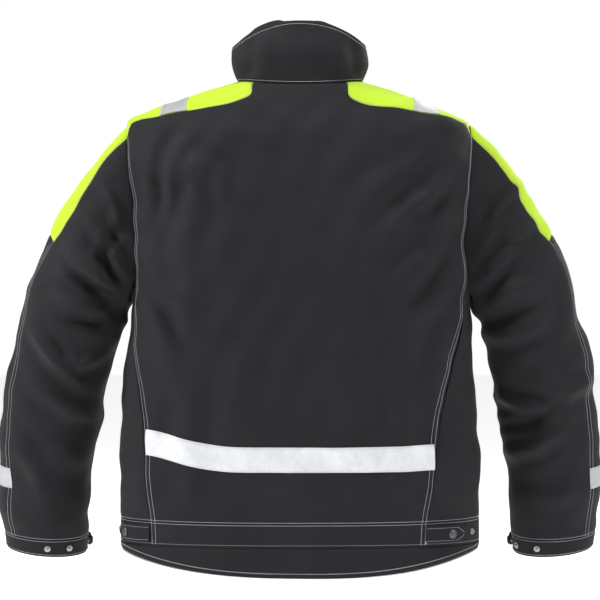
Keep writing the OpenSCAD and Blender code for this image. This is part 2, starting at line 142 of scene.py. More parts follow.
# ---- folds --------------------------------------------------------------------
@dataclass(frozen=True)
class Fold:
    """A ridge (or a groove, if height is negative) along a line seen from the back or front."""

    path: tuple[tuple[float, float], ...]
    width: float
    height: float
    face: Face = Face.BACK

    def lift(self, p: Array) -> Array:
        """How far the fold raises the cloth at each point.

        Args:
            p: points, with a last axis of 3, in metres.

        Returns:
            Height at each point, in metres.
        """
        x, z = p[..., 0], p[..., 2]
        best = np.full(x.shape, 1e9)
        along = np.zeros(x.shape)
        n = len(self.path) - 1
        for i in range(n):
            a, b = np.array(self.path[i]), np.array(self.path[i + 1])
            d = b - a
            t = np.clip(((x - a[0]) * d[0] + (z - a[1]) * d[1]) / (d @ d), 0, 1)
            dist = np.hypot(x - a[0] - t * d[0], z - a[1] - t * d[1])
            near = dist < best
            best = np.where(near, dist, best)
            along = np.where(near, (i + t) / n, along)
        q = best / self.width
        ridge = np.exp(-q * q) - 0.35 * np.exp(-((q - 1.9) / 0.9) ** 2)
        side = 1.0
        if self.face is not Face.BOTH:
            side = ease((self.face.value * (p[..., 1] - SIDE_Y) + 0.012) / 0.04)
        return self.height * ridge * np.sin(np.pi * np.clip(along, 0.03, 0.97)) ** 0.7 * side


def ripples(p: Array, size: float, seed: int, count: int = 9) -> Array:
    """Soft uneven waves through space, from a fixed seed.

    Args:
        p: points, with a last axis of 3.
        size: typical wavelength in metres.
        seed: which set of waves.
        count: how many waves are summed.

    Returns:
        Height between about -1 and 1 at each point.
    """
    rng = np.random.default_rng(seed)
    total = np.zeros(p.shape[:-1])
    for _ in range(count):
        d = rng.normal(size=3)
        d /= np.linalg.norm(d)
        total += np.sin(p @ d * (2 * np.pi / (size * rng.uniform(0.7, 1.5))) + rng.uniform(0, 6.28))
    return total / math.sqrt(count)


# ---- the coat's skins ---------------------------------------------------------
SIDE_Y = -0.088
SHOULDER_Z = -0.053
HEM_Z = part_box("waistband_back")[0].z
HEM_HALF = 0.268
FRONT_HEM_Y = -0.205
FRONT_LEAN = 0.0915
JOIN_R, PATCH_R, ARM_MID_R, ARM_HALF_R = 0.67, 0.965, 0.8, 0.2
RISE = SHOULDER_Z - HEM_Z
BAND_R = 0.036 / RISE
COLLAR_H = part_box("collar_outer")[1].z
TURN = 6.0


class Skin:
    """A surface in two coordinates: an angle in degrees and a row."""

    folds: tuple[Fold, ...] = ()

    def base(self, u: Array, v: Array) -> Array:
        """The plain surface, without folds."""
        raise NotImplementedError

    def drape(self, p: Array, u: Array, v: Array) -> Array:
        """How far folds raise the cloth at points p."""
        return sum((f.lift(p) for f in self.folds), np.zeros(p.shape[:-1]))

    def at(self, u: Array, v: Array) -> Array:
        """Points of the draped cloth.

        Args:
            u: angles in degrees.
            v: rows.

        Returns:
            Points in metres, with a last axis of 3.
        """
        u, v = np.broadcast_arrays(np.asarray(u, float), np.asarray(v, float))
        p = self.base(u, v)
        n = self.normal_of(self.base, u, v)
        return p + n * self.drape(p, u, v)[..., None]

    @staticmethod
    def normal_of(fn: Callable[[Array, Array], Array], u: Array, v: Array) -> Array:
        """Outward unit normals of a surface function."""
        du, dv = 1.5, 0.008
        n = np.cross(fn(u + du, v) - fn(u - du, v), fn(u, v + dv) - fn(u, v - dv))
        return n / np.maximum(np.linalg.norm(n, axis=-1, keepdims=True), 1e-12)

    def lifted(self, u: Array, v: Array, off: Any) -> Array:
        """Points at a height above the draped cloth.

        Args:
            u: angles.
            v: rows.
            off: height above the cloth, one number or an array.

        Returns:
            Points in metres.
        """
        u, v = np.broadcast_arrays(np.asarray(u, float), np.asarray(v, float))
        return self.at(u, v) + self.normal_of(self.at, u, v) * np.asarray(off)[..., None]

    def seat(self, u: float, v: float, off: float, spin: float = 0.0) -> Matrix:
        """Where a small fitting sits: its +Z out of the cloth, its +X along the rows.

        Args:
            u: angle.
            v: row.
            off: height above the cloth.
            spin: turn about the normal, in degrees.

        Returns:
            The placing matrix.
        """
        uu, vv = np.array([u], float), np.array([v], float)
        n = Vector(self.normal_of(self.at, uu, vv)[0])
        x = Vector((self.at(uu + 1, vv) - self.at(uu - 1, vv))[0]).normalized()
        y = n.cross(x).normalized()
        m = Matrix((y.cross(n), y, n)).transposed().to_4x4()
        return (Matrix.Translation(Vector(self.lifted(uu, vv, off)[0])) @ m
                @ Matrix.Rotation(math.radians(spin), 4, "Z"))


def front_y(z: Array) -> Array:
    """The zip line's depth at height z."""
    return FRONT_HEM_Y + FRONT_LEAN * (z - HEM_Z)


def oval(theta: Array, w: Array) -> Array:
    """A rounded-square ring of the coat: the rule of the CAD source.

    Args:
        theta: angle in degrees, 0 at the wearer's left and 90 at the back.
        w: row of half width, side height, back height, back y, front height, side y, squareness.

    Returns:
        Points in metres.
    """
    c, s = np.cos(np.radians(theta)), np.sin(np.radians(theta))
    p = 2 / w[..., 6]
    reach = np.where(s > 0, w[..., 3] - w[..., 5], w[..., 5] - front_y(w[..., 4]))
    return np.stack([w[..., 0] * np.sign(c) * np.abs(c) ** p,
                     w[..., 5] + np.sign(s) * reach * np.abs(s) ** p,
                     w[..., 1] * c**2 + np.where(s > 0, w[..., 2], w[..., 4]) * s**2], -1)


def trunk_row(r: float, half: float, back: float, square: float = 2.6) -> list[float]:
    """One row of the trunk between hem and shoulder."""
    return [half, mix(HEM_Z, SHOULDER_Z, r), mix(HEM_Z, -0.080, r), back, mix(HEM_Z, -0.150, r), SIDE_Y,
            square]


NECK_ROW = [0.092, 0.009, 0.0, 0.0, -0.072, -0.070, 2.2]


def yoke_key(r: Array) -> Array:
    """Rows above the shoulder tip cover less cloth than those below it."""
    return np.where(r < 1, r, 1 + 0.22 * (r - 1))


BODY_ROWS = Flow(
    [0.0, 0.25, 0.45, 0.60, 0.80, 1.0] + [float(yoke_key(np.array(r))) for r in (1.2, 1.5, 1.8, 2.0)],
    [trunk_row(0, HEM_HALF, 0.028), trunk_row(0.25, HEM_HALF - 0.001, 0.027), trunk_row(0.45, 0.258, 0.029),
     trunk_row(0.60, 0.254, 0.034), trunk_row(0.80, 0.256, 0.036), trunk_row(1.0, 0.255, 0.031),
     [0.228, -0.036, -0.057, 0.0255, -0.134, -0.086, 2.5], [0.172, -0.014, -0.032, 0.016, -0.112, -0.080,
                                                            2.4],
     [0.120, 0.001, -0.012, 0.006, -0.086, -0.073, 2.3], NECK_ROW])


def arm_theta(phi: Array) -> Array:
    """Angle of the armhole's edge on the trunk; phi is 0 at the shoulder tip and 90 at the back."""
    s, c = np.sin(np.radians(phi)), np.cos(np.radians(phi))
    return np.sign(s) * np.abs(s) ** 0.5 * (19 - 8 * c)


def arm_edge(r: Array) -> Array:
    """Angle of the armhole's back edge at a row."""
    return arm_theta(np.degrees(np.arccos(np.clip((np.asarray(r) - ARM_MID_R) / ARM_HALF_R, -1, 1))))


SIDE_SEAM = Flow([0, 0.06, 0.18, 0.27, 0.32, 0.385, 0.48, 0.55, 0.61, JOIN_R],
                 [46.5, 45.8, 42, 40.2, 37.9, 33, 24.5, 19.8, 19.6, float(arm_edge(JOIN_R))])
PATCH_EDGE = Flow([PATCH_R, 1.03, 1.08, 1.15, 1.28, 1.5, 1.7, 2.0],
                  [float(arm_edge(PATCH_R)), 21, 26, 34, 44, 60, 62, 44])


def back_edge(r: Array, turn: float) -> Array:
    """Angle of the back panel's edge at a row: side seam, then armhole, then patch seam.

    Args:
        r: rows.
        turn: 1 on the wearer's left, -1 on the right, 0 where the lower coat's turn is ignored.

    Returns:
        Angles in degrees.
    """
    r = np.asarray(r, float)
    low = SIDE_SEAM.one(r) - turn * TURN * ease((JOIN_R - r) / 0.25)
    return np.where(r < JOIN_R, low, np.where(r < PATCH_R, arm_edge(r), PATCH_EDGE.one(r)))


def zip_edge(r: Array, half: float = 0.0052) -> Array:
    """Angle of a front edge that stands `half` off the middle line."""
    w = BODY_ROWS(yoke_key(np.asarray(r, float)))
    return -np.degrees(np.arccos((half / w[..., 0]) ** (w[..., 6] / 2)))


class Trunk(Skin):
    """The coat's body from hem to neck seam, rows 0 to 2."""

    folds = (
        Fold(((0.182, -0.140), (0.150, -0.118), (0.117, -0.136), (0.106, -0.180)), 0.012, 0.0075),
        Fold(((0.226, -0.120), (0.205, -0.160), (0.215, -0.215)), 0.009, -0.0060),
        Fold(((-0.232, -0.135), (-0.196, -0.178), (-0.150, -0.205)), 0.009, -0.0060),
        Fold(((-0.228, -0.232), (-0.190, -0.285), (-0.160, -0.330)), 0.011, -0.0040),
        Fold(((0.236, -0.300), (0.200, -0.330), (0.165, -0.385)), 0.010, -0.0050),
        Fold(((0.150, -0.070), (0.185, -0.115), (0.196, -0.170)), 0.013, 0.0075),
        Fold(((0.118, -0.075), (0.150, -0.125), (0.158, -0.200)), 0.016, 0.0067),
        Fold(((0.215, -0.095), (0.222, -0.150), (0.212, -0.215)), 0.010, 0.0060),
        Fold(((0.175, -0.195), (0.160, -0.250), (0.165, -0.320)), 0.016, 0.0053),
        Fold(((0.235, -0.245), (0.205, -0.290), (0.150, -0.330)), 0.014, 0.0060),
        Fold(((0.240, -0.290), (0.205, -0.345), (0.190, -0.420)), 0.013, 0.0053),
        Fold(((-0.225, -0.105), (-0.185, -0.165), (-0.110, -0.235)), 0.014, 0.0075),
        Fold(((-0.205, -0.085), (-0.160, -0.125), (-0.090, -0.165)), 0.015, 0.0060),
        Fold(((-0.232, -0.190), (-0.190, -0.245), (-0.130, -0.300)), 0.014, 0.0067),
        Fold(((-0.230, -0.270), (-0.195, -0.320), (-0.150, -0.350)), 0.013, 0.0060),
        Fold(((-0.225, -0.340), (-0.200, -0.400), (-0.190, -0.470)), 0.014, 0.0053),
        Fold(((-0.060, -0.400), (-0.075, -0.470), (-0.070, -0.530)), 0.024, 0.0045),
        Fold(((0.075, -0.380), (0.095, -0.450), (0.085, -0.530)), 0.024, 0.0045),
        Fold(((-0.150, -0.430), (-0.145, -0.500), (-0.155, -0.640)), 0.018, 0.0045),
        Fold(((0.170, -0.430), (0.160, -0.500), (0.165, -0.640)), 0.018, 0.0045),
        Fold(((0.000, -0.560), (0.010, -0.610), (0.005, -0.660)), 0.022, 0.0037),
        Fold(((0.200, -0.110), (0.150, -0.180), (0.120, -0.260)), 0.016, 0.0067, Face.FRONT),
        Fold(((-0.200, -0.110), (-0.150, -0.180), (-0.125, -0.260)), 0.016, 0.0067, Face.FRONT),
        Fold(((0.225, -0.240), (0.180, -0.300), (0.130, -0.340)), 0.015, 0.0067, Face.FRONT),
        Fold(((-0.225, -0.250), (-0.180, -0.300), (-0.120, -0.350)), 0.015, 0.0067, Face.FRONT),
        Fold(((0.105, -0.400), (0.115, -0.480), (0.105, -0.580)), 0.020, 0.0053, Face.FRONT),
        Fold(((-0.100, -0.390), (-0.115, -0.480), (-0.105, -0.580)), 0.020, 0.0053, Face.FRONT),
    )

    def base(self, u: Array, v: Array) -> Array:
        """The plain trunk."""
        return oval(u, BODY_ROWS(yoke_key(v)))

    def drape(self, p: Array, u: Array, v: Array) -> Array:
        """Folds, and the softness of wadding, fading at the zip, the neck and the waistband."""
        free = ease((v - BAND_R) / 0.08) * ease((1.95 - v) / 0.6) * ease((np.abs(p[..., 0]) - 0.02) / 0.05
                                                                       + (p[..., 1] > SIDE_Y))
        soft = 0.0030 * ripples(p, 0.15, 3) + 0.0014 * ripples(p, 0.055, 4)
        band = (0.0012 * ripples(p, 0.075, 6) * ease((0.35 - v) / 0.3) * ease((v - 0.6 * BAND_R) / 0.06)
                * ease((p[..., 1] - SIDE_Y) / 0.03))
        return free * (super().drape(p, u, v) + soft) + band


class Collar(Skin):
    """The stand collar, rows 0 at the neck seam to 1 at the top edge."""

    rows = Flow([0.0, 0.5, 1.0],
                [NECK_ROW, [0.102, 0.034, 0.5 * COLLAR_H, 0.005, -0.030, -0.071, 2.2],
                 [0.100, 0.060, COLLAR_H, -0.004, 0.012, -0.071, 2.2]])

    def base(self, u: Array, v: Array) -> Array:
        """The plain collar."""
        return oval(u, self.rows(np.clip(v, -0.1, 1.1)))

    def drape(self, p: Array, u: Array, v: Array) -> Array:
        """Rolls and dents beside the nape, and slack in the cloth."""
        dent = (-0.0045 * np.exp(-((p[..., 0] - 0.074) / 0.010) ** 2)
                - 0.0045 * np.exp(-((p[..., 0] + 0.082) / 0.010) ** 2)
                + 0.0025 * np.exp(-((p[..., 0] - 0.052) / 0.012) ** 2)
                + 0.0025 * np.exp(-((p[..., 0] + 0.058) / 0.012) ** 2))
        dent = dent * (p[..., 1] > -0.07) * ease((1.0 - v) / 0.3) * ease(v / 0.2)
        return dent + 0.0012 * ripples(p, 0.06, 8) * ease(v / 0.15)


SLEEVE_ROWS = Flow(
    [0.0, 0.069, 0.162, 0.253, 0.359, 0.497, 0.638, 0.778, 0.899, 1.0],
    [[0.2586, SHOULDER_Z, 0.2586, -0.303, 0.058, -0.088], [0.302, -0.097, 0.262, -0.320, 0.069, -0.089],
     [0.343, -0.157, 0.267, -0.346, 0.071, -0.090], [0.377, -0.216, 0.272, -0.374, 0.069, -0.092],
     [0.407, -0.295, 0.280, -0.404, 0.067, -0.097], [0.434, -0.393, 0.291, -0.450, 0.063, -0.106],
     [0.448, -0.486, 0.302, -0.505, 0.058, -0.117], [0.454, -0.570, 0.311, -0.570, 0.054, -0.128],
     [0.454, -0.635, 0.319, -0.639, 0.049, -0.138], [0.448, -0.688, 0.325, -0.698, 0.046, -0.145]])
STRIPE = Flow([0, 0.07, 0.16, 0.22, 0.25, 0.3, 0.36, 0.5, 0.64, 0.8, 1],
              [33, 31, 38, 36, 31, 28, 27, 36, 40, 44, 50])
CUFF_S, STRIPE_END = 0.955, 0.253
SLEEVE_LEN = 0.690


class Arm(Skin):
    """A sleeve, rows 0 at the armhole to 1 at the cuff's edge; angle 0 outside, 90 in front, -90 behind."""

    left_folds = (
        Fold(((0.2550, -0.205), (0.2760, -0.226), (0.2860, -0.250), (0.2760, -0.275), (0.2560, -0.288)),
             0.0085,
             -0.0085, Face.BOTH),
        Fold(((0.2600, -0.310), (0.3000, -0.298), (0.3400, -0.270)), 0.0080, -0.0075, Face.BOTH),
        Fold(((0.2640, -0.325), (0.3050, -0.352), (0.3500, -0.345)), 0.0080, -0.0070, Face.BOTH),
        Fold(((0.3900, -0.345), (0.3500, -0.395), (0.3220, -0.428)), 0.0070, -0.0060, Face.BOTH),
        Fold(((0.258, -0.285), (0.280, -0.235), (0.318, -0.190)), 0.009, 0.0115, Face.BOTH),
        Fold(((0.262, -0.315), (0.300, -0.275), (0.345, -0.245)), 0.010, 0.0115, Face.BOTH),
        Fold(((0.270, -0.345), (0.315, -0.325), (0.362, -0.315)), 0.011, 0.0095, Face.BOTH),
        Fold(((0.262, -0.235), (0.272, -0.180), (0.295, -0.140)), 0.008, 0.0074, Face.BACK),
        Fold(((0.397, -0.352), (0.360, -0.405), (0.318, -0.445)), 0.011, 0.0095, Face.BOTH),
        Fold(((0.295, -0.395), (0.325, -0.412), (0.352, -0.400)), 0.009, 0.0081, Face.BOTH),
        Fold(((0.300, -0.490), (0.340, -0.480), (0.395, -0.440)), 0.012, 0.0068, Face.BOTH),
        Fold(((0.310, -0.560), (0.350, -0.545), (0.400, -0.560)), 0.014, 0.0054, Face.BOTH),
        Fold(((0.430, -0.520), (0.400, -0.560), (0.380, -0.620)), 0.013, 0.0047, Face.BOTH),
        Fold(((0.380, -0.240), (0.395, -0.300), (0.385, -0.360)), 0.013, 0.0047, Face.BOTH),
    )
    right_folds = (
        Fold(((-0.2600, -0.232), (-0.2900, -0.196), (-0.3220, -0.160)), 0.0075, -0.0095, Face.BOTH),
        Fold(((-0.2620, -0.276), (-0.2980, -0.240), (-0.3400, -0.222)), 0.0075, -0.0095, Face.BOTH),
        Fold(((-0.2680, -0.352), (-0.3100, -0.338), (-0.3550, -0.318)), 0.0080, -0.0070, Face.BOTH),
        Fold(((-0.3000, -0.505), (-0.3400, -0.500), (-0.3850, -0.470)), 0.0080, -0.0060, Face.BOTH),
        Fold(((-0.260, -0.245), (-0.290, -0.190), (-0.330, -0.140)), 0.009, 0.0108, Face.BOTH),
        Fold(((-0.262, -0.290), (-0.300, -0.245), (-0.345, -0.200)), 0.010, 0.0115, Face.BOTH),
        Fold(((-0.268, -0.330), (-0.310, -0.300), (-0.350, -0.290)), 0.011, 0.0095, Face.BOTH),
        Fold(((-0.275, -0.370), (-0.320, -0.365), (-0.365, -0.345)), 0.011, 0.0081, Face.BOTH),
        Fold(((-0.292, -0.455), (-0.325, -0.470), (-0.372, -0.480)), 0.010, 0.0088, Face.BOTH),
        Fold(((-0.305, -0.550), (-0.350, -0.535), (-0.395, -0.505)), 0.011, 0.0081, Face.BOTH),
        Fold(((-0.440, -0.430), (-0.400, -0.450), (-0.345, -0.430)), 0.012, 0.0068, Face.BOTH),
        Fold(((-0.430, -0.580), (-0.390, -0.610), (-0.350, -0.610)), 0.013, 0.0047, Face.BOTH),
        Fold(((-0.385, -0.250), (-0.400, -0.310), (-0.390, -0.380)), 0.013, 0.0047, Face.BOTH),
    )

    def __init__(self, side: Side) -> None:
        """Args: side: which sleeve."""
        self.side = side
        self.folds = self.left_folds if side is Side.LEFT else self.right_folds

    def tube(self, phi: Array, s: Array) -> Array:
        """The wearer's left sleeve as a plain leaning tube."""
        w = SLEEVE_ROWS(s)
        q = (1 - np.cos(np.radians(phi))) / 2
        fore = w[..., 4] * np.sin(np.radians(phi))
        return np.stack([mix(w[..., 0], w[..., 2], q), w[..., 5] - fore,
                         mix(w[..., 1], w[..., 3], q) + 0.2 * s * fore], -1)

    def base(self, u: Array, v: Array) -> Array:
        """The tube, drawn in at its head to the trunk's armhole."""
        rim = oval(arm_theta(-u), BODY_ROWS(yoke_key(ARM_MID_R + ARM_HALF_R * np.cos(np.radians(u)))))
        lead = rim - self.tube(u, np.zeros_like(v))
        p = self.tube(u, v) + lead * (1 - ease(v / 0.2))[..., None]
        if self.side is Side.RIGHT:
            p = p * np.array([-1.0, 1.0, 1.0])
        return p

    def drape(self, p: Array, u: Array, v: Array) -> Array:
        """Folds at the armpit and elbow, dying out at the armhole and the cuff."""
        free = ease(v / 0.07) * ease((CUFF_S - v) / 0.06)
        soft = 0.0028 * ripples(p, 0.10, 11) + 0.0006 * ripples(p, 0.042, 12)
        return free * (super().drape(p, u, v) + soft) + 0.0003 * ripples(p, 0.05, 13) * ease((v - 0.9) / 0.05)

    @staticmethod
    def normal_of(fn: Callable[[Array, Array], Array], u: Array, v: Array) -> Array:
        """Outward normals, with a wider step round the sleeve."""
        du, dv = 3.0, 0.008
        lo = np.maximum(v - dv, 0)
        n = np.cross(fn(u + du, v) - fn(u - du, v), fn(u, lo + 2 * dv) - fn(u, lo))
        n = n / np.maximum(np.linalg.norm(n, axis=-1, keepdims=True), 1e-12)
        outside = fn(np.zeros_like(u[:1]) if u.ndim else u * 0,
                     np.full_like(v[:1], 0.5) if v.ndim else v * 0 + 0.5)
        return n * (1.0 if np.mean(outside[..., 0]) > 0 else -1.0)


class Tail(Skin):
    """The hem below the waistband, rows -1 at its edge to 0 at the waistband."""

    def __init__(self, trunk: Trunk) -> None:
        """Args: trunk: the skin that it hangs from."""
        self.trunk = trunk

    def base(self, u: Array, v: Array) -> Array:
        """The trunk's lowest ring let down to the curved edge."""
        drop = mix(0.008, 0.044, np.clip(np.sin(np.radians(u)), 0, 1) ** 2.2)
        p = self.trunk.at(u, np.zeros_like(v))
        back = ease((p[..., 1] - SIDE_Y) / 0.06)
        sway = 0.004 * back * np.minimum(v, 0) * np.sin(p[..., 0] * 16 + 0.6)
        inward = np.array([0.0, SIDE_Y, 0.0]) - p * np.array([1.0, 1.0, 0.0])
        inward /= np.linalg.norm(inward, axis=-1, keepdims=True)
        rise = np.stack([np.zeros_like(v), sway, -0.00025 + v * drop], -1)
        return p + rise + inward * (0.0030 * ease((v + 0.05) / 0.05))[..., None]


class NeckSeam(Skin):
    """The strip under the neck seam, rows -1 on the trunk to 1 on the collar."""

    def at(self, u: Array, v: Array) -> Array:
        """The trunk's surface below the seam and the collar's above it."""
        u, v = np.broadcast_arrays(np.asarray(u, float), np.asarray(v, float))
        below, above = TRUNK.at(u, 2 + 0.07 * np.minimum(v, 0)), COLLAR.at(u, 0.09 * np.maximum(v, 0))
        return np.where((v < 0)[..., None], below, above)


TRUNK = Trunk()
COLLAR = Collar()
TAIL = Tail(TRUNK)


# ---- shader maths ---------------------------------------------------------------
class Val:
    """One socket in a node tree, with sums and products that add Math nodes."""

    def __init__(self, shade: "Shade", socket: Any) -> None:
        """Args: shade: the tree's builder. socket: the wrapped output."""
        self.shade, self.socket = shade, socket

    def _math(self, op: str, a: Any, b: Any = 0.0) -> "Val":
        """A Math node on two values."""
        return self.shade.add("ShaderNodeMath", {"operation": op}, {0: a, 1: b})

    def __add__(self, o: Any) -> "Val":
        """Sum."""
        return self._math("ADD", self, o)

    __radd__ = __add__

    def __sub__(self, o: Any) -> "Val":
        """Difference."""
        return self._math("SUBTRACT", self, o)

    def __rsub__(self, o: Any) -> "Val":
        """Difference from the left."""
        return self._math("SUBTRACT", o, self)

    def __mul__(self, o: Any) -> "Val":
        """Product."""
        return self._math("MULTIPLY", self, o)

    __rmul__ = __mul__

    def __pow__(self, o: Any) -> "Val":
        """Power."""
        return self._math("POWER", self, o)

    def op(self, name: str, other: Any = 0.0) -> "Val":
        """Any other Math operation, by its name."""
        return self._math(name, self, other)


class Shade:
    """Builds one material's node tree."""

    def __init__(self, name: str) -> None:
        """Args: name: the material's name."""
        self.mat = bpy.data.materials.new(name)
        self.mat.use_nodes = True
        self.tree = self.mat.node_tree
        self.tree.nodes.clear()

    def add(self, kind: str, settings: dict[str, Any] | None = None, inputs: dict[Any, Any] | None = None,
            out: Any = 0) -> Val:
        """Adds a node.

        Args:
            kind: the node's type.
            settings: attributes, set before the sockets.
            inputs: socket name or number to a value or a Val.
            out: the output wanted.

        Returns:
            The output, wrapped.
        """
        n = self.tree.nodes.new(kind)
        for k, v in (settings or {}).items():
            if k == "stops":
                ramp = n.color_ramp
                while len(ramp.elements) < len(v):
                    ramp.elements.new(0.5)
                for e, (pos, col) in zip(ramp.elements, v):
                    e.position, e.color = pos, (*col, 1)
            else:
                setattr(n, k, v)
        for k, v in (inputs or {}).items():
            if isinstance(v, Val):
                self.tree.links.new(v.socket, n.inputs[k])
            else:
                n.inputs[k].default_value = v
        return Val(self, n.outputs[out])

    def blend(self, t: Any, a: Any, b: Any) -> Val:
        """Mixes two colours by t."""
        return self.add("ShaderNodeMix", {"data_type": "RGBA"}, {0: t, 6: a, 7: b}, 2)

    def cloth_xy(self) -> Val:
        """The piece's own cloth coordinates, in metres."""
        return self.add("ShaderNodeUVMap", {"uv_map": "cloth"})

    def object_xyz(self) -> Val:
        """Object coordinates."""
        return self.add("ShaderNodeTexCoord", None, None, "Object")

    def axes(self, vec: Val) -> tuple[Val, Val]:
        """The first two parts of a vector."""
        n = self.tree.nodes.new("ShaderNodeSeparateXYZ")
        self.tree.links.new(vec.socket, n.inputs[0])
        return Val(self, n.outputs[0]), Val(self, n.outputs[1])

    def noise(self, where: Val, scale: float, detail: float = 2.0, rough: float = 0.5) -> Val:
        """Plain noise from 0 to 1."""
        return self.add("ShaderNodeTexNoise", None,
                        {"Vector": where, "Scale": scale, "Detail": detail, "Roughness": rough}, "Fac")

    def bump(self, height: Val, depth: float, under: Val | None = None, strength: float = 1.0) -> Val:
        """A bump from a height, on top of another."""
        ins: dict[Any, Any] = {"Height": height, "Distance": depth, "Strength": strength}
        if under is not None:
            ins["Normal"] = under
        return self.add("ShaderNodeBump", None, ins)

    def finish(self, **sockets: Any) -> bpy.types.Material:
        """Closes the tree with one surface shader.

        Args:
            sockets: shader socket names, with underscores for spaces, to values.

        Returns:
            The material.
        """
        n = self.tree.nodes.new("ShaderNodeBsdfPrincipled")
        for k, v in sockets.items():
            s = n.inputs[k.replace("_", " ")]
            if isinstance(v, Val):
                self.tree.links.new(v.socket, s)
            else:
                s.default_value = v
        out = self.tree.nodes.new("ShaderNodeOutputMaterial")
        self.tree.links.new(n.outputs[0], out.inputs[0])
        return self.mat


Rgb = tuple[float, float, float]


def rgba(c: Rgb, k: float = 1.0) -> tuple[float, float, float, float]:
    """A colour with full alpha, scaled."""
    return (c[0] * k, c[1] * k, c[2] * k, 1.0)


@dataclass(frozen=True)
class Twill:
    """Woven cloth: slanting ribs, slubs, uneven dye and a soft sheen."""

    name: str
    colour: Rgb
    faded: Rgb
    pitch: float = 0.0011
    depth: float = 0.00025
    rough: float = 0.78
    sheen: float = 0.03
    grain: float = 0.10

    def make(self) -> bpy.types.Material:
        """Builds the material."""
        s = Shade(self.name)
        xy, xyz = s.cloth_xy(), s.object_xyz()
        x, y = s.axes(xy)
        rib = ((x + y * 0.62) * (2 * math.pi / self.pitch)).op("SINE") * 0.5 + 0.5
        weft = ((x - y * 1.9) * (2 * math.pi / (self.pitch * 2.1))).op("SINE") * 0.5 + 0.5
        weave = rib * 0.7 + weft * 0.3
        slub = s.noise(xyz, 420, 3, 0.6)
        cloud = s.noise(xyz, 9, 4, 0.6)
        worn = s.noise(xyz, 38, 5, 0.65)
        tone = s.blend((cloud * 0.75 + worn * 0.35 - 0.2).op("MAXIMUM", 0.0).op("MINIMUM", 1.0),
                       rgba(self.colour), rgba(self.faded))
        tone = s.blend((slub * 0.6 + weave * 0.4) * self.grain * 2.2, tone, rgba(self.faded, 1.6))
        normal = s.bump(weave, self.depth, s.bump(worn, 0.0007, None, 0.5), 0.6)
        return s.finish(Base_Color=tone, Roughness=self.rough - 0.12 * cloud, Normal=normal,
                        Sheen_Weight=self.sheen, Sheen_Roughness=0.5, Specular_IOR_Level=0.12)


@dataclass(frozen=True)
class Reflective:
    """Grey retroreflective tape: fine beads on a tight weave, scuffed in places."""

    name: str = "reflective tape"
    colour: Rgb = (0.62, 0.63, 0.65)
    scuffed: Rgb = (0.42, 0.43, 0.45)

    def make(self) -> bpy.types.Material:
        """Builds the material."""
        s = Shade(self.name)
        xy, xyz = s.cloth_xy(), s.object_xyz()
        x, y = s.axes(xy)
        grid = (x * (2 * math.pi / 0.0009)).op("SINE") * (y * (2 * math.pi / 0.0009)).op("SINE") * 0.5 + 0.5
        scuff = s.noise(xyz, 60, 6, 0.7)
        streak = s.noise(xyz, 14, 3, 0.5)
        tone = s.blend((scuff * 1.5 - 0.45 + streak * 0.3).op("MAXIMUM", 0.0).op("MINIMUM", 1.0),
                       rgba(self.colour), rgba(self.scuffed))
        tone = s.blend(grid * 0.12, tone, rgba((0.9, 0.9, 0.92)))
        normal = s.bump(grid, 0.00012, s.bump(scuff, 0.0005, None, 0.5), 0.5)
        return s.finish(Base_Color=tone, Roughness=0.42 + 0.15 * scuff, Metallic=0.25, Normal=normal)


@dataclass(frozen=True)
class Quilted:
    """Shiny lining cloth over wadding, stitched in diamonds."""

    name: str = "quilted lining"
    colour: Rgb = (0.030, 0.031, 0.036)
    diamond: float = 0.060

    def make(self) -> bpy.types.Material:
        """Builds the material."""
        s = Shade(self.name)
        x, y = s.axes(s.cloth_xy())
        k = math.pi / self.diamond
        a = ((x + y) * k).op("SINE").op("ABSOLUTE")
        b = ((x - y) * k).op("SINE").op("ABSOLUTE")
        puff = (a.op("MINIMUM", b)) ** 0.45
        seam = (a.op("MINIMUM", b)).op("LESS_THAN", 0.03)
        crease = s.noise(s.object_xyz(), 70, 5, 0.7)
        tone = s.blend(seam, s.blend(crease, rgba(self.colour), rgba(self.colour, 1.6)),
                       rgba(self.colour, 0.45))
        normal = s.bump(puff, 0.0045, s.bump(crease, 0.0010, None, 0.6), 0.8)
        return s.finish(Base_Color=tone, Roughness=0.38 + 0.2 * crease, Normal=normal, Sheen_Weight=0.1)


@dataclass(frozen=True)
class Thread:
    """Twisted sewing thread."""

    name: str
    colour: Rgb

    def make(self) -> bpy.types.Material:
        """Builds the material."""
        s = Shade(self.name)
        fuzz = s.noise(s.object_xyz(), 1500, 3, 0.6)
        tone = s.blend(fuzz, rgba(self.colour, 0.75), rgba(self.colour, 1.2))
        return s.finish(Base_Color=tone, Roughness=0.62, Normal=s.bump(fuzz, 0.0002, None, 0.6),
                        Sheen_Weight=0.2)


@dataclass(frozen=True)
class Metal:
    """Pressed metal, dulled and lightly scratched."""

    name: str
    colour: Rgb
    rough: float = 0.34

    def make(self) -> bpy.types.Material:
        """Builds the material."""
        s = Shade(self.name)
        xyz = s.object_xyz()
        mottled, scratch = s.noise(xyz, 240, 4, 0.6), s.noise(xyz, 1400, 6, 0.75)
        tone = s.blend(mottled, rgba(self.colour, 0.8), rgba(self.colour, 1.35))
        return s.finish(Base_Color=tone, Metallic=1.0, Roughness=self.rough + 0.2 * mottled,
                        Normal=s.bump(scratch, 0.00008, None, 0.5))


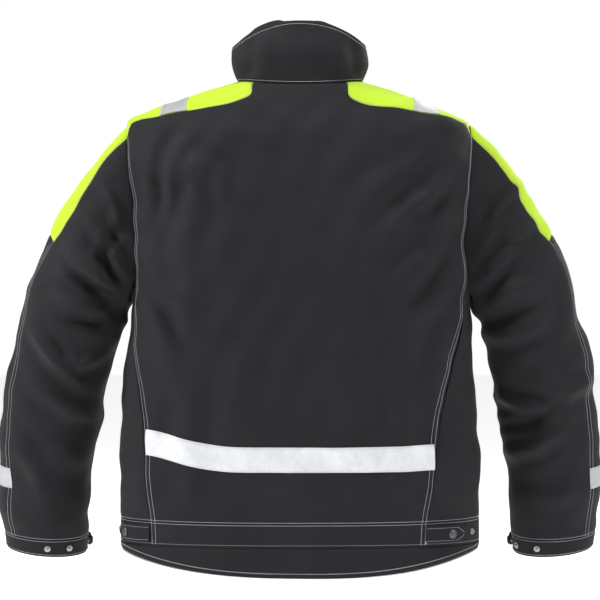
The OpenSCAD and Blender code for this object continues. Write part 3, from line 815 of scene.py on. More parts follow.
@dataclass(frozen=True)
class Webbing:
    """Narrow woven tape with a herringbone."""

    name: str
    colour: Rgb

    def make(self) -> bpy.types.Material:
        """Builds the material."""
        s = Shade(self.name)
        x, y = s.axes(s.cloth_xy())
        zag = ((y * (2 * math.pi / 0.004)).op("SINE").op("ABSOLUTE") * 0.0016 + x) * (2 * math.pi / 0.0010)
        rib = zag.op("SINE") * 0.5 + 0.5
        fuzz = s.noise(s.object_xyz(), 500, 3, 0.6)
        tone = s.blend(rib * 0.5 + fuzz * 0.4, rgba(self.colour), rgba(self.colour, 2.2))
        return s.finish(Base_Color=tone, Roughness=0.7, Normal=s.bump(rib, 0.0003, None, 0.6),
                        Sheen_Weight=0.2)


@dataclass(frozen=True)
class Moulded:
    """Moulded plastic with a slight haze."""

    name: str
    colour: Rgb

    def make(self) -> bpy.types.Material:
        """Builds the material."""
        s = Shade(self.name)
        haze = s.noise(s.object_xyz(), 300, 4, 0.6)
        tone = s.blend(haze, rgba(self.colour, 0.8), rgba(self.colour, 1.5))
        return s.finish(Base_Color=tone, Roughness=0.35 + 0.2 * haze, Normal=s.bump(haze, 0.0001, None, 0.4))


@dataclass
class Wardrobe:
    """Every finish on the coat, made once."""

    black: bpy.types.Material = field(init=False)
    bright: bpy.types.Material = field(init=False)
    silver: bpy.types.Material = field(init=False)
    # The darker reflective tape copy: its grey is painted shade.
    silver_dim: bpy.types.Material = field(init=False)
    lining: bpy.types.Material = field(init=False)
    grey_thread: bpy.types.Material = field(init=False)
    pale_thread: bpy.types.Material = field(init=False)
    gunmetal: bpy.types.Material = field(init=False)
    bright_metal: bpy.types.Material = field(init=False)
    webbing: bpy.types.Material = field(init=False)
    plastic: bpy.types.Material = field(init=False)

    def __post_init__(self) -> None:
        """Makes the materials."""
        self.black = Twill("black twill", (0.0068, 0.0068, 0.0080), (0.0150, 0.0152, 0.0172)).make()
        self.bright = Twill("bright twill", (0.34, 0.50, 0.022), (0.38, 0.55, 0.030), rough=0.8, sheen=0.02,
                            grain=0.05).make()
        self.silver = Reflective().make()
        # A darker copy of the reflective tape for the shoulders and sleeves: its lower grey is painted shade
        # standing in for dimmer light on those tapes; its scuffs stay random wear.
        self.silver_dim = Reflective("reflective tape with painted shade", (0.36, 0.37, 0.38), (0.25, 0.26, 0.27)).make()
        self.lining = Quilted().make()
        self.grey_thread = Thread("grey thread", (0.30, 0.30, 0.33)).make()
        self.pale_thread = Thread("pale thread", (0.45, 0.46, 0.47)).make()
        self.gunmetal = Metal("gunmetal", (0.085, 0.085, 0.088)).make()
        self.bright_metal = Metal("bright metal", (0.24, 0.24, 0.245), 0.26).make()
        self.webbing = Webbing("woven tape", (0.012, 0.012, 0.013)).make()
        self.plastic = Moulded("moulded teeth", (0.02, 0.02, 0.022)).make()


# ---- mesh making ----------------------------------------------------------------
def new_object(name: str, verts: Array, faces: Sequence[Sequence[int]], mat: bpy.types.Material,
               uv: Array | None = None, sharp: float = 50.0) -> bpy.types.Object:
    """Makes a smooth-shaded mesh object at the origin.

    Args:
        name: the piece's name.
        verts: points in metres.
        faces: corner lists.
        mat: its finish.
        uv: cloth coordinates of each vertex.
        sharp: edges bent by more degrees than this stay sharp.

    Returns:
        The object, linked to the scene.
    """
    me = bpy.data.meshes.new(name)
    me.from_pydata(np.asarray(verts, float).tolist(), [], [list(map(int, f)) for f in faces])
    if uv is not None:
        layer = me.uv_layers.new(name="cloth")
        corner = np.empty(len(me.loops), dtype=np.int32)
        me.loops.foreach_get("vertex_index", corner)
        layer.data.foreach_set("uv", np.asarray(uv, np.float32)[corner].ravel())
    me.shade_smooth()
    me.set_sharp_from_angle(angle=math.radians(sharp))
    me.materials.append(mat)
    ob = bpy.data.objects.new(name, me)
    bpy.context.scene.collection.objects.link(ob)
    return ob


def lengths(p: Array, axis: int) -> Array:
    """Running length along one axis of a grid of points."""
    d = np.linalg.norm(np.diff(p, axis=axis), axis=-1)
    z = np.zeros((1, d.shape[1])) if axis == 0 else np.zeros((d.shape[0], 1))
    return np.concatenate([z, np.cumsum(d, axis=axis)], axis=axis)


@dataclass
class Cloth:
    """A closed piece of cloth between two heights above a skin."""

    skin: Skin
    place: Place
    rows: int
    cols: int
    low: float = -0.0022
    high: float = 0.0
    tuck: float = 0.0011
    tuck_width: float = 0.005
    ring: bool = False
    puff_in: Callable[[Array, Array], Array] | None = None
    held: str = "hung"

    def surface(self) -> tuple[Array, Array, Array, Array]:
        """Grid of points, normals and running lengths across and along."""
        s, t = np.meshgrid(np.linspace(0, 1, self.cols + 1), np.linspace(0, 1, self.rows + 1))
        u, v = self.place(s, t)
        p = self.skin.at(u, v)
        n = self.skin.normal_of(self.skin.at, u, v)
        return p, n, lengths(p, 1), lengths(p, 0)

    def build(self, name: str, mat: bpy.types.Material) -> bpy.types.Object:
        """Makes the piece.

        Args:
            name: its name.
            mat: its finish.

        Returns:
            The object.
        """
        p, n, across, along = self.surface()
        edge = np.minimum(along, along[-1:] - along)
        if not self.ring:
            edge = np.minimum(edge, np.minimum(across, across[:, -1:] - across))
        sink = self.tuck * (1 - ease(edge / self.tuck_width)) ** 1.5
        top = self.high - sink
        under = np.full(edge.shape, self.low)
        if self.puff_in is not None:
            under = under + self.puff_in(across, along)
        outer = p + n * top[..., None]
        inner = p + n * under[..., None]
        mid_a, mid_b = across.mean(axis=0), along.mean(axis=1)
        uv = np.stack(np.meshgrid(mid_a, mid_b), -1)
        r, c = outer.shape[:2]
        if self.ring:
            outer, inner = outer[:, :-1], inner[:, :-1]
        k = outer.shape[1]
        verts = np.concatenate([outer.reshape(-1, 3), inner.reshape(-1, 3)])
        uvs = np.concatenate([uv[:, :k].reshape(-1, 2)] * 2)
        i, j = np.meshgrid(np.arange(r - 1), np.arange(c - 1), indexing="ij")
        a = (i * k + j).ravel()
        b = (i * k + (j + 1) % k).ravel()
        d, e = a + k, b + k
        m = r * k
        quads = [np.stack([a, b, e, d], 1), np.stack([a + m, d + m, e + m, b + m], 1)]
        jj = np.arange(c - 1)
        lo, hi = jj, (jj + 1) % k
        quads.append(np.stack([lo, lo + m, hi + m, hi], 1))
        base = (r - 1) * k
        quads.append(np.stack([base + lo, base + hi, base + hi + m, base + lo + m], 1))
        if not self.ring:
            ii = np.arange(r - 1) * k
            quads.append(np.stack([ii, ii + k, ii + k + m, ii + m], 1))
            jj = ii + k - 1
            quads.append(np.stack([jj, jj + m, jj + k + m, jj + k], 1))
        faces = np.concatenate(quads)
        if not self._outward(verts, quads[0], n, k):
            faces = faces[:, ::-1]
        ob = new_object(name, verts, faces, mat, uvs)
        if self.puff_in is None:
            cell = np.cross(p[1:, :-1] - p[:-1, :-1], p[:-1, 1:] - p[:-1, :-1])
        return ob

    @staticmethod
    def _outward(verts: Array, quads: Array, n: Array, k: int) -> bool:
        """Whether the outer quads already face along the normals."""
        q = quads[len(quads) // 2]
        face = np.cross(verts[q[1]] - verts[q[0]], verts[q[3]] - verts[q[0]])
        return bool(face @ n[q[0] // k, q[0] % k] > 0)


# ---- repeated small things --------------------------------------------------------
class Repeater:
    """A Geometry Nodes tree that sets one small shape along lines."""

    def __init__(self, name: str) -> None:
        """Args: name: the tree's name."""
        self.tree = bpy.data.node_groups.new(name, "GeometryNodeTree")
        self.tree.interface.new_socket("Geometry", in_out="INPUT", socket_type="NodeSocketGeometry")
        self.tree.interface.new_socket("Geometry", in_out="OUTPUT", socket_type="NodeSocketGeometry")
        self.ids: dict[str, str] = {}
        for label, kind in (("Pitch", "NodeSocketFloat"), ("Length", "NodeSocketFloat"),
                            ("Width", "NodeSocketFloat"), ("Height", "NodeSocketFloat"),
                            ("Finish", "NodeSocketMaterial")):
            s = self.tree.interface.new_socket(label, in_out="INPUT", socket_type=kind)
            self.ids[label] = s.identifier
        self.source = self.tree.nodes.new("NodeGroupInput")
        self.sink = self.tree.nodes.new("NodeGroupOutput")

    def node(self, kind: str, settings: dict[str, Any] | None = None,
             links: dict[Any, Any] | None = None) -> Any:
        """Adds a node, sets it and links its inputs.

        Args:
            kind: the node's type.
            settings: attributes.
            links: input name or number to an output socket or a value.

        Returns:
            The node.
        """
        n = self.tree.nodes.new(kind)
        for k, v in (settings or {}).items():
            setattr(n, k, v)
        for k, v in (links or {}).items():
            if isinstance(v, bpy.types.NodeSocket):
                self.tree.links.new(v, n.inputs[k])
            else:
                n.inputs[k].default_value = v
        return n

    def close(self, shape: Any) -> "Repeater":
        """Instances a shape along the lines and finishes the tree.

        Args:
            shape: the mesh output to repeat; its X lies along the line.

        Returns:
            This repeater.
        """
        g = self.source.outputs
        curve = self.node("GeometryNodeMeshToCurve", None, {0: g["Geometry"]})
        even = self.node("GeometryNodeResampleCurve", {"mode": "LENGTH"}, {"Curve": curve.outputs[0]})
        self.tree.links.new(g["Pitch"], even.inputs["Length"])
        way = self.node("GeometryNodeInputTangent")
        turn = self.node("FunctionNodeAlignRotationToVector", {"axis": "X"}, {"Vector": way.outputs[0]})
        size = self.node("ShaderNodeCombineXYZ", None, {0: g["Length"], 1: g["Width"], 2: g["Height"]})
        put = self.node("GeometryNodeInstanceOnPoints", None,
                        {"Points": even.outputs[0], "Instance": shape, "Rotation": turn.outputs[0],
                         "Scale": size.outputs[0]})
        real = self.node("GeometryNodeRealizeInstances", None, {0: put.outputs[0]})
        dress = self.node("GeometryNodeSetMaterial", None, {0: real.outputs[0], "Material": g["Finish"]})
        self.tree.links.new(dress.outputs[0], self.sink.inputs[0])
        return self

    def run(self, name: str, lines: Iterable[Array], pitch: float, size: tuple[float, float, float],
            mat: bpy.types.Material) -> bpy.types.Object:
        """Sets the shape along lines of points.

        Args:
            name: the new piece's name.
            lines: each an array of points in metres.
            pitch: spacing along the line.
            size: the shape's length, width and height.
            mat: its finish.

        Returns:
            A plain mesh object.
        """
        verts: list[list[float]] = []
        edges: list[tuple[int, int]] = []
        for line in lines:
            base = len(verts)
            verts += np.asarray(line, float).tolist()
            edges += [(base + i, base + i + 1) for i in range(len(line) - 1)]
        me = bpy.data.meshes.new(name + "_lines")
        me.from_pydata(verts, edges, [])
        ob = bpy.data.objects.new(name + "_lines", me)
        bpy.context.scene.collection.objects.link(ob)
        mod = ob.modifiers.new("repeat", "NODES")
        mod.node_group = self.tree
        for label, value in (("Pitch", pitch), ("Length", size[0]), ("Width", size[1]), ("Height", size[2]),
                             ("Finish", mat)):
            mod[self.ids[label]] = value
        dg = bpy.context.evaluated_depsgraph_get()
        out = bpy.data.meshes.new_from_object(ob.evaluated_get(dg))
        bpy.data.objects.remove(ob)
        out.name = name
        if not out.materials:
            out.materials.append(mat)
        out.shade_smooth()
        made = bpy.data.objects.new(name, out)
        bpy.context.scene.collection.objects.link(made)
        return made


def stitch_repeater() -> Repeater:
    """Small thread ovals, end to end along a seam."""
    r = Repeater("stitches")
    ball = r.node("GeometryNodeMeshUVSphere", None, {"Segments": 6, "Rings": 4, "Radius": 0.5})
    return r.close(ball.outputs[0])


def tooth_repeater() -> Repeater:
    """Zip teeth: small blocks across the line."""
    r = Repeater("teeth")
    block = r.node("GeometryNodeMeshCube", None, {"Size": (1.0, 1.0, 1.0)})
    return r.close(block.outputs[0])


# ---- shared making --------------------------------------------------------------
GAP = 0.12
TUCK = 0.0011


def tuck_at(d: float) -> float:
    """How deep a panel's edge is pulled down at a distance from its seam."""
    return TUCK * float((1 - ease(d / 0.005)) ** 1.5)


def beside(skin: Skin, u: Array, v: Array, d: float) -> tuple[Array, Array]:
    """Moves a line sideways over a skin.

    Args:
        skin: the skin.
        u: the line's angles.
        v: the line's rows.
        d: distance in metres, to the left when the line is followed with the cloth facing up.

    Returns:
        The moved line's angles and rows.
    """
    pu = (skin.at(u + 1, v) - skin.at(u - 1, v)) / 2
    pv = (skin.at(u, v + 0.004) - skin.at(u, v - 0.004)) / 0.008
    p = skin.at(u, v)
    t = np.gradient(p, axis=0)
    n = np.cross(pu, pv) * (1 if np.mean(np.sum(np.cross(pu, pv) * skin.normal_of(skin.at, u, v),
                                                -1)) > 0 else -1)
    w = np.cross(n, t)
    w /= np.maximum(np.linalg.norm(w, axis=-1, keepdims=True), 1e-12)
    a, b, c = (pu * pu).sum(-1), (pu * pv).sum(-1), (pv * pv).sum(-1)
    e, f = d * (w * pu).sum(-1), d * (w * pv).sum(-1)
    det = a * c - b * b
    return u + (c * e - b * f) / det, v + (a * f - b * e) / det


@dataclass
class Shop:
    """Finishes and repeaters that every sub-assembly shares."""

    finish: Wardrobe
    stitches: Repeater
    teeth: Repeater

    def settle(self, ob: bpy.types.Object, body: str, slot: str, *nodes: str,
               bend: tuple[str, Array, Array] | None = None) -> bpy.types.Object:
        """Attaches a finished piece to its body, or only bakes in its place for sleeve and bent pieces, and
        hides the nodes it stands for.

        Args:
            ob: the piece.
            body: the body it rides on; a sleeve's pieces are not attached to it, their place is only baked
                in.
            slot: not used.
            nodes: CAD nodes that it stands for.
            bend: when given, the piece is not attached and its place is only baked in; no bending is done.

        Returns:
            The piece.
        """
        if bend is not None:
            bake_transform(ob)
        elif body.startswith("sleeve"):
            x = 1.0 if body.endswith("left") else -1.0
            0.2560 * x
            0.2900 * x
            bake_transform(ob)
        else:
            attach(ob, body)
        if nodes:
            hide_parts(*nodes)
        log.info("%s: %d faces on %s", ob.name, len(ob.data.polygons), body)
        return ob

    def sew(self, name: str, body: str, lines: Iterable[Array], mat: bpy.types.Material,
            pitch: float = 0.0032,
            size: tuple[float, float, float] = (0.0028, 0.0013, 0.0009),
            bend: tuple[str, Array, Array] | None = None) -> bpy.types.Object:
        """Sews along lines.

        Args:
            name: the piece's name.
            body: the body it rides on.
            lines: arrays of points on the cloth.
            mat: the thread.
            pitch: stitch spacing.
            size: stitch length, width and height.
            bend: as for settle.

        Returns:
            The stitches as one piece.
        """
        ob = self.stitches.run(name, lines, pitch, size, mat)
        return self.settle(ob, body, "knit_tape", bend=bend)


def seam(skin: Skin, u: Array, v: Array, d: float, off: float | None = None) -> Array:
    """A stitch line beside a seam, sunk as the panel's edge is sunk."""
    uu, vv = beside(skin, np.asarray(u, float), np.asarray(v, float), d)
    return skin.lifted(uu, vv, (0.0001 - tuck_at(abs(d))) if off is None else off)


def span(a: float, b: float, n: int = 160) -> Array:
    """Evenly spaced numbers."""
    return np.linspace(a, b, n)


def shell_panel(place: Place, rows: int, cols: int, skin: Skin = TRUNK) -> Cloth:
    """An outer panel of the coat."""
    return Cloth(skin, place, rows, cols, tuck=TUCK)


def sided(fn: Callable[[Array, Array], tuple[Array, Array]], side: Side) -> Place:
    """Turns a left-hand placing into the right-hand one."""
    if side is Side.LEFT:
        return fn

    def other(s: Array, t: Array) -> tuple[Array, Array]:
        """The mirrored placing."""
        u, v = fn(s, t)
        return 180.0 - u, v

    return other


def on_side(u: Array, side: Side) -> Array:
    """An angle on the trunk, mirrored for the right-hand side."""
    return u if side is Side.LEFT else 180.0 - u


# ---- the trunk --------------------------------------------------------------------
@dataclass
class TrunkPanels:
    """Back, sides, fronts, shoulder patches, waistband and tail."""

    shop: Shop
    rows: int = 170
    cols: int = 150

    def back(self) -> None:
        """The back panel, from seam to seam."""
        def place(s: Array, t: Array) -> tuple[Array, Array]:
            """Seam to seam, waistband to neck."""
            r = mix(BAND_R, 2.0, t)
            return mix(back_edge(r, 1) + GAP, 180 - back_edge(r, -1) - GAP, s), r
        ob = shell_panel(place, self.rows, self.cols).build("back_cloth", self.shop.finish.black)
        self.shop.settle(ob, "coat", "shell_cloth", "back_panel")

    def fronts(self, side: Side) -> None:
        """One front panel."""
        def place(s: Array, t: Array) -> tuple[Array, Array]:
            """Zip to side seam."""
            r = mix(BAND_R, 2.0, t)
            return mix(zip_edge(r), -back_edge(r, 0) - GAP, s), r
        ob = shell_panel(sided(place, side), self.rows, 80).build(f"front_cloth_{side.tag}",
                                                                  self.shop.finish.black)
        self.shop.settle(ob, "coat", "shell_cloth", f"front_panel_{side.tag}")

    def flank(self, side: Side) -> None:
        """The panel below the armhole."""
        def place(s: Array, t: Array) -> tuple[Array, Array]:
            """Front seam to back seam, up to the armhole."""
            q = 180 + (0.5 - s) * 99
            top_u, top_r = arm_theta(q), ARM_MID_R + ARM_HALF_R * np.cos(np.radians(q))
            r = mix(BAND_R, top_r, t)
            fore, rear = -back_edge(r, 0) + GAP, back_edge(r, side.value) - GAP
            return np.clip(mix(mix(fore, rear, s), top_u, t**3), fore, rear), r
        ob = shell_panel(sided(place, side), 110, 60).build(f"flank_cloth_{side.tag}", self.shop.finish.black)
        self.shop.settle(ob, "coat", "shell_cloth", f"side_panel_{side.tag}")

    def patch(self, side: Side) -> None:
        """The bright shoulder patch and the tape across it."""
        tag = side.tag

        def place(s: Array, t: Array) -> tuple[Array, Array]:
            """Front seam to back seam, armhole to neck."""
            r = mix(PATCH_R, 2.0, t)
            e = PATCH_EDGE.one(r) - GAP
            return mix(-e, e, s), r + 0.035 * (1 - (2 * s - 1) ** 2) * (1 - t)
        ob = shell_panel(sided(place, side), 80, 60).build(f"shoulder_cloth_{tag}", self.shop.finish.bright)
        self.shop.settle(ob, "coat", "bright_cloth", f"shoulder_patch_{tag}")

        def band(s: Array, t: Array) -> tuple[Array, Array]:
            """Across the patch."""
            return (mix(34.0, 44.0, t) - 0.4) * (2 * s - 1), mix(1.34, 1.53, t) - mix(0.19, 0.25,
                                                                                      t) * (2 * s - 1) ** 2
        tape = Cloth(TRUNK, sided(band, side), 14, 60, 0.00005, 0.0008, 0.0003, 0.002)
        # The shoulder tape takes the darker tape copy, whose grey is painted shade.
        ob = tape.build(f"shoulder_silver_{tag}", self.shop.finish.silver_dim)
        self.shop.settle(ob, "coat", "reflective", f"shoulder_tape_{tag}")
        r = span(PATCH_R + 0.02, 1.985, 90)
        lines = [seam(TRUNK, on_side(k * PATCH_EDGE.one(r), side), r, 0.0016 * k * side.value) for k in (1,
                                                                                                         -1)]
        self.shop.sew(f"shoulder_seam_stitches_{tag}", "coat", lines, self.shop.finish.grey_thread)
        s = span(0.02, 0.98, 60)
        lines = []
        for t in (0.05, 0.95):
            u, v = sided(band, side)(s, np.full_like(s, t))
            lines.append(TRUNK.lifted(u, v, 0.0009))
        self.shop.sew(f"shoulder_silver_stitches_{tag}", "coat", lines, self.shop.finish.pale_thread)

    def bands(self) -> None:
        """The waistband: back and two sides, then the tail below."""
        def back(s: Array, t: Array) -> tuple[Array, Array]:
            """Side seam to side seam."""
            r = mix(0.0, BAND_R - 0.0006, t)
            return mix(back_edge(r, 1) + GAP, 180 - back_edge(r, -1) - GAP, s), r
        ob = shell_panel(back, 16, 150).build("waistband_cloth_back", self.shop.finish.black)
        self.shop.settle(ob, "coat", "shell_cloth", "waistband_back")
        for side in Side:
            def flank(s: Array, t: Array, k: int = side.value) -> tuple[Array, Array]:
                """Zip to side seam, round the wearer's side."""
                r = mix(0.0, BAND_R - 0.0006, t)
                return mix(zip_edge(r), back_edge(r, k) - GAP, s), r
            ob = shell_panel(sided(flank, side), 16, 170).build(f"waistband_cloth_{side.tag}",
                                                                self.shop.finish.black)
            self.shop.settle(ob, "coat", "shell_cloth", f"waistband_{side.tag}")
        tail = shell_panel(lambda s, t: (mix(-88.0, 268.0, s), mix(-1.0, 0.14, t)), 26, 320, TAIL)
        ob = tail.build("tail_cloth", self.shop.finish.black)
        self.shop.settle(ob, "coat", "shell_cloth", "hem_tail")

    def seams(self) -> None:
        """Topstitching of the trunk."""
        grey = self.shop.finish.grey_thread
        for side in Side:
            r = span(0.006, PATCH_R, 260)
            u = on_side(back_edge(r, side.value), side)
            lines = [seam(TRUNK, u, r, -d * side.value) for d in (0.0016, 0.0078)]
            self.shop.sew(f"side_seam_stitches_{side.tag}", "coat", lines, grey)
            u = on_side(-back_edge(r, 0), side)
            lines = [seam(TRUNK, u, r, d * side.value) for d in (0.0016, 0.0078)]
            self.shop.sew(f"front_seam_stitches_{side.tag}", "coat", lines, grey)
            r = span(0.006, 1.98, 200)
            lines = [seam(TRUNK, on_side(zip_edge(r), side), r, -0.006 * side.value)]
            self.shop.sew(f"zip_edge_stitches_{side.tag}", "coat", lines, grey)
        u = span(-87.5, 267.5, 500)
        lines = [seam(TRUNK, u, np.full_like(u, BAND_R), -0.0020),
                 seam(TRUNK, u, np.full_like(u, BAND_R), 0.0020),
                 seam(TRUNK, u, np.zeros_like(u), 0.0020)]
        self.shop.sew("waistband_stitches", "coat", lines, grey)
        lines = [seam(TAIL, u, np.full_like(u, -1.0), 0.0070)]
        self.shop.sew("hem_stitches", "coat", lines, grey)

    def build(self) -> None:
        """Makes every piece of the trunk."""
        self.back()
        for side in Side:
            self.fronts(side)
            self.flank(side)
            self.patch(side)
        self.bands()
        self.seams()


@dataclass
class TrunkTapes:
    """Reflective tape across the back and on each front."""

    shop: Shop
    width: float = 0.038

    def strip(self, name: str, node: str, place: Place, cols: int) -> None:
        """One tape with its two rows of stitches.

        Args:
            name: the piece's name.
            node: the CAD node.
            place: where it runs.
            cols: steps along it.
        """
        tape = Cloth(TRUNK, place, 14, cols, 0.00005, 0.0009, 0.0004, 0.002)
        ob = tape.build(name, self.shop.finish.silver)
        self.shop.settle(ob, "coat", "reflective", node)
        s = span(0.004, 0.996, 2 * cols)
        lines = [TRUNK.lifted(*place(s, np.full_like(s, t)), 0.0010) for t in (0.045, 0.955)]
        self.shop.sew(f"{name}_stitches", "coat", lines, self.shop.finish.pale_thread)

    def build(self) -> None:
        """Makes the tapes."""
        k = self.width / RISE

        def back(s: Array, t: Array) -> tuple[Array, Array]:
            """Side seam to side seam, rising towards the left-hand end."""
            a, b = float(back_edge(0.2, 1)) + 0.3, 180 - float(back_edge(0.2, -1)) - 0.3
            low = 0.1835 + 0.032 * (1 - ease(s / 0.42))
            return mix(a, b, s), mix(low, low + k, t)
        self.strip("back_silver", "back_tape", back, 170)
        for side in Side:
            def front(s: Array, t: Array) -> tuple[Array, Array]:
                """Zip to side seam."""
                return mix(-86.0, -float(back_edge(0.2, 0)) - 1, s), mix(0.185, 0.185 + k, t)
            self.strip(f"front_silver_{side.tag}", f"front_tape_{side.tag}", sided(front, side), 80)


@dataclass
class CollarSet:
    """The stand collar, its facing, and the loop at the nape."""

    shop: Shop

    def build(self) -> None:
        """Makes the collar."""
        black = self.shop.finish.black
        outer = Cloth(COLLAR, lambda s, t: (mix(-87.5, 267.5, s), mix(0.004, 1.0, t)), 50, 240, -0.0022, 0.0,
                      TUCK, 0.004)
        ob = outer.build("collar_cloth", black)
        self.shop.settle(ob, "coat", "shell_cloth", "collar_outer")
        inner = Cloth(COLLAR, lambda s, t: (mix(-79.5, 259.5, s), mix(0.03, 1.0, t)), 40, 200, -0.0054,
                      -0.0025,
                      0.0)
        ob = inner.build("collar_facing", black)
        self.shop.settle(ob, "coat", "lining_cloth", "collar_lining")
        binding = Cloth(NeckSeam(), lambda s, t: (mix(-84.0, 264.0, s), 2 * t - 1), 10, 200, -0.0046,
                        -0.0030, 0.0)
        ob = binding.build("neck_seam_tape", self.shop.finish.webbing)
        self.shop.settle(ob, "coat", "knit_tape")
        u = span(-86.5, 266.5, 420)
        lines = [seam(COLLAR, u, np.full_like(u, 1.0), -0.0028),
                 seam(COLLAR, u, np.full_like(u, 0.004), 0.0022)]
        self.shop.sew("collar_stitches", "coat", lines, self.shop.finish.grey_thread)
        x = span(-1, 1, 41)
        arc = np.stack([0.032 * x, -0.0122 - 0.009 * np.cos(np.pi / 2 * x) ** 1.2, np.full_like(x, -0.006)],
                       -1)
        t = np.array([-0.004, 0.004])
        verts, uv, faces = [], [], []
        for i, p in enumerate(arc):
            for dy in (0.0, -0.0012):
                for dz in t:
                    verts.append(p + np.array([0, dy, dz]))
                    uv.append((i * 0.0019, dz + dy))
        for i in range(len(arc) - 1):
            a, b = 4 * i, 4 * i + 4
            faces += [(a, a + 1, b + 1, b), (a + 1, a + 3, b + 3, b + 1), (a + 3, a + 2, b + 2, b + 3),
                      (a + 2, a, b, b + 2)]
        faces += [(0, 2, 3, 1), (4 * len(arc) - 4, 4 * len(arc) - 3, 4 * len(arc) - 1, 4 * len(arc) - 2)]
        ob = new_object("hang_loop_tape", np.array(verts), [f[::-1] for f in faces], self.shop.finish.webbing,
                        np.array(uv))
        self.shop.settle(ob, "coat", "knit_tape", "hang_loop")


@dataclass
class Linings:
    """Quilted lining of the trunk and sleeves, the wind flap and the armhole bindings."""

    shop: Shop
    out: float = -0.0052
    thick: float = 0.0045
    diamond: float = 0.060

    def puff(self, across: Array, along: Array) -> Array:
        """How far the quilting is drawn in at its stitches, on the wearer's side."""
        k = math.pi / self.diamond
        a = np.minimum(np.abs(np.sin((across + along) * k)), np.abs(np.sin((across - along) * k)))
        return 0.0022 * (1 - a**0.5)

    def build(self) -> None:
        """Makes the linings."""
        fin = self.shop.finish

        def edge(r: Array) -> Array:
            """The armhole's edge in the lining."""
            return np.maximum(GAP, arm_edge(r))

        def back(s: Array, t: Array) -> tuple[Array, Array]:
            """Side to side across the back."""
            r = mix(0.012, 1.95, t)
            return mix(edge(r), 180 - edge(r), s), r
        low = self.out - self.thick
        ob = Cloth(TRUNK, back, 110, 110, low, self.out, 0, puff_in=self.puff).build("lining_cloth_back",
                                                                                     fin.lining)
        self.shop.settle(ob, "coat", "lining_cloth", "lining_back")
        for side in Side:
            def front(s: Array, t: Array) -> tuple[Array, Array]:
                """Zip facing to side."""
                r = mix(0.012, 1.95, t)
                return mix(zip_edge(r, 0.024), -edge(r), s), r
            ob = Cloth(TRUNK, sided(front, side), 110, 60, low, self.out, 0, puff_in=self.puff).build(
                f"lining_cloth_{side.tag}", fin.lining)
            self.shop.settle(ob, "coat", "lining_cloth", f"lining_{side.tag}")
            ob = Cloth(Arm(side), lambda s, t: (360 * s, mix(0.02, 0.985, t)), 110, 72, low, self.out, 0,
                       ring=True,
                       puff_in=self.puff).build(f"sleeve_lining_cloth_{side.tag}", fin.lining)
            self.shop.settle(ob, f"sleeve_{side.tag}", "lining_cloth",
                                       f"sleeve_lining_{side.tag}")
        flap = Cloth(TRUNK, lambda s, t: (-90 + (90 + zip_edge(mix(0.02, 1.94, t), 0.022)) * (2 * s - 1),
                                          mix(0.02, 1.94, t)), 80, 12, -0.0064, -0.0050, 0.0)
        self.shop.settle(flap.build("wind_flap_cloth", fin.black), "coat", "shell_cloth", "wind_flap")
        verts, faces = [], []
        for x in (1.0, -1.0):
            base = len(verts)
            phi = np.linspace(0, 360, 72, endpoint=False)
            rim = oval(arm_theta(phi), BODY_ROWS(yoke_key(ARM_MID_R + ARM_HALF_R * np.cos(np.radians(phi)))))
            mid = rim.mean(axis=0)
            inward = (mid - rim) * np.array([0, 1, 1])
            inward /= np.linalg.norm(inward, axis=-1, keepdims=True)
            for reach, depth in ((0.0, 0.0024), (1.0, 0.0024), (1.0, 0.0031), (0.0, 0.0031)):
                p = rim + inward * depth
                p[:, 0] = mix(rim[:, 0], 0.2570, reach)
                verts += (p * np.array([x, 1, 1])).tolist()
            for ring in range(4):
                a0, b0 = base + 72 * ring, base + 72 * ((ring + 1) % 4)
                for i in range(72):
                    j = (i + 1) % 72
                    f = (a0 + i, a0 + j, b0 + j, b0 + i)
                    faces.append(f if x > 0 else f[::-1])
        uv = np.array([(v[1] + v[2], v[0]) for v in verts])
        ob = new_object("armhole_bindings_cloth", np.array(verts), faces, fin.webbing, uv)
        self.shop.settle(ob, "coat", "shell_cloth", "armhole_bindings")


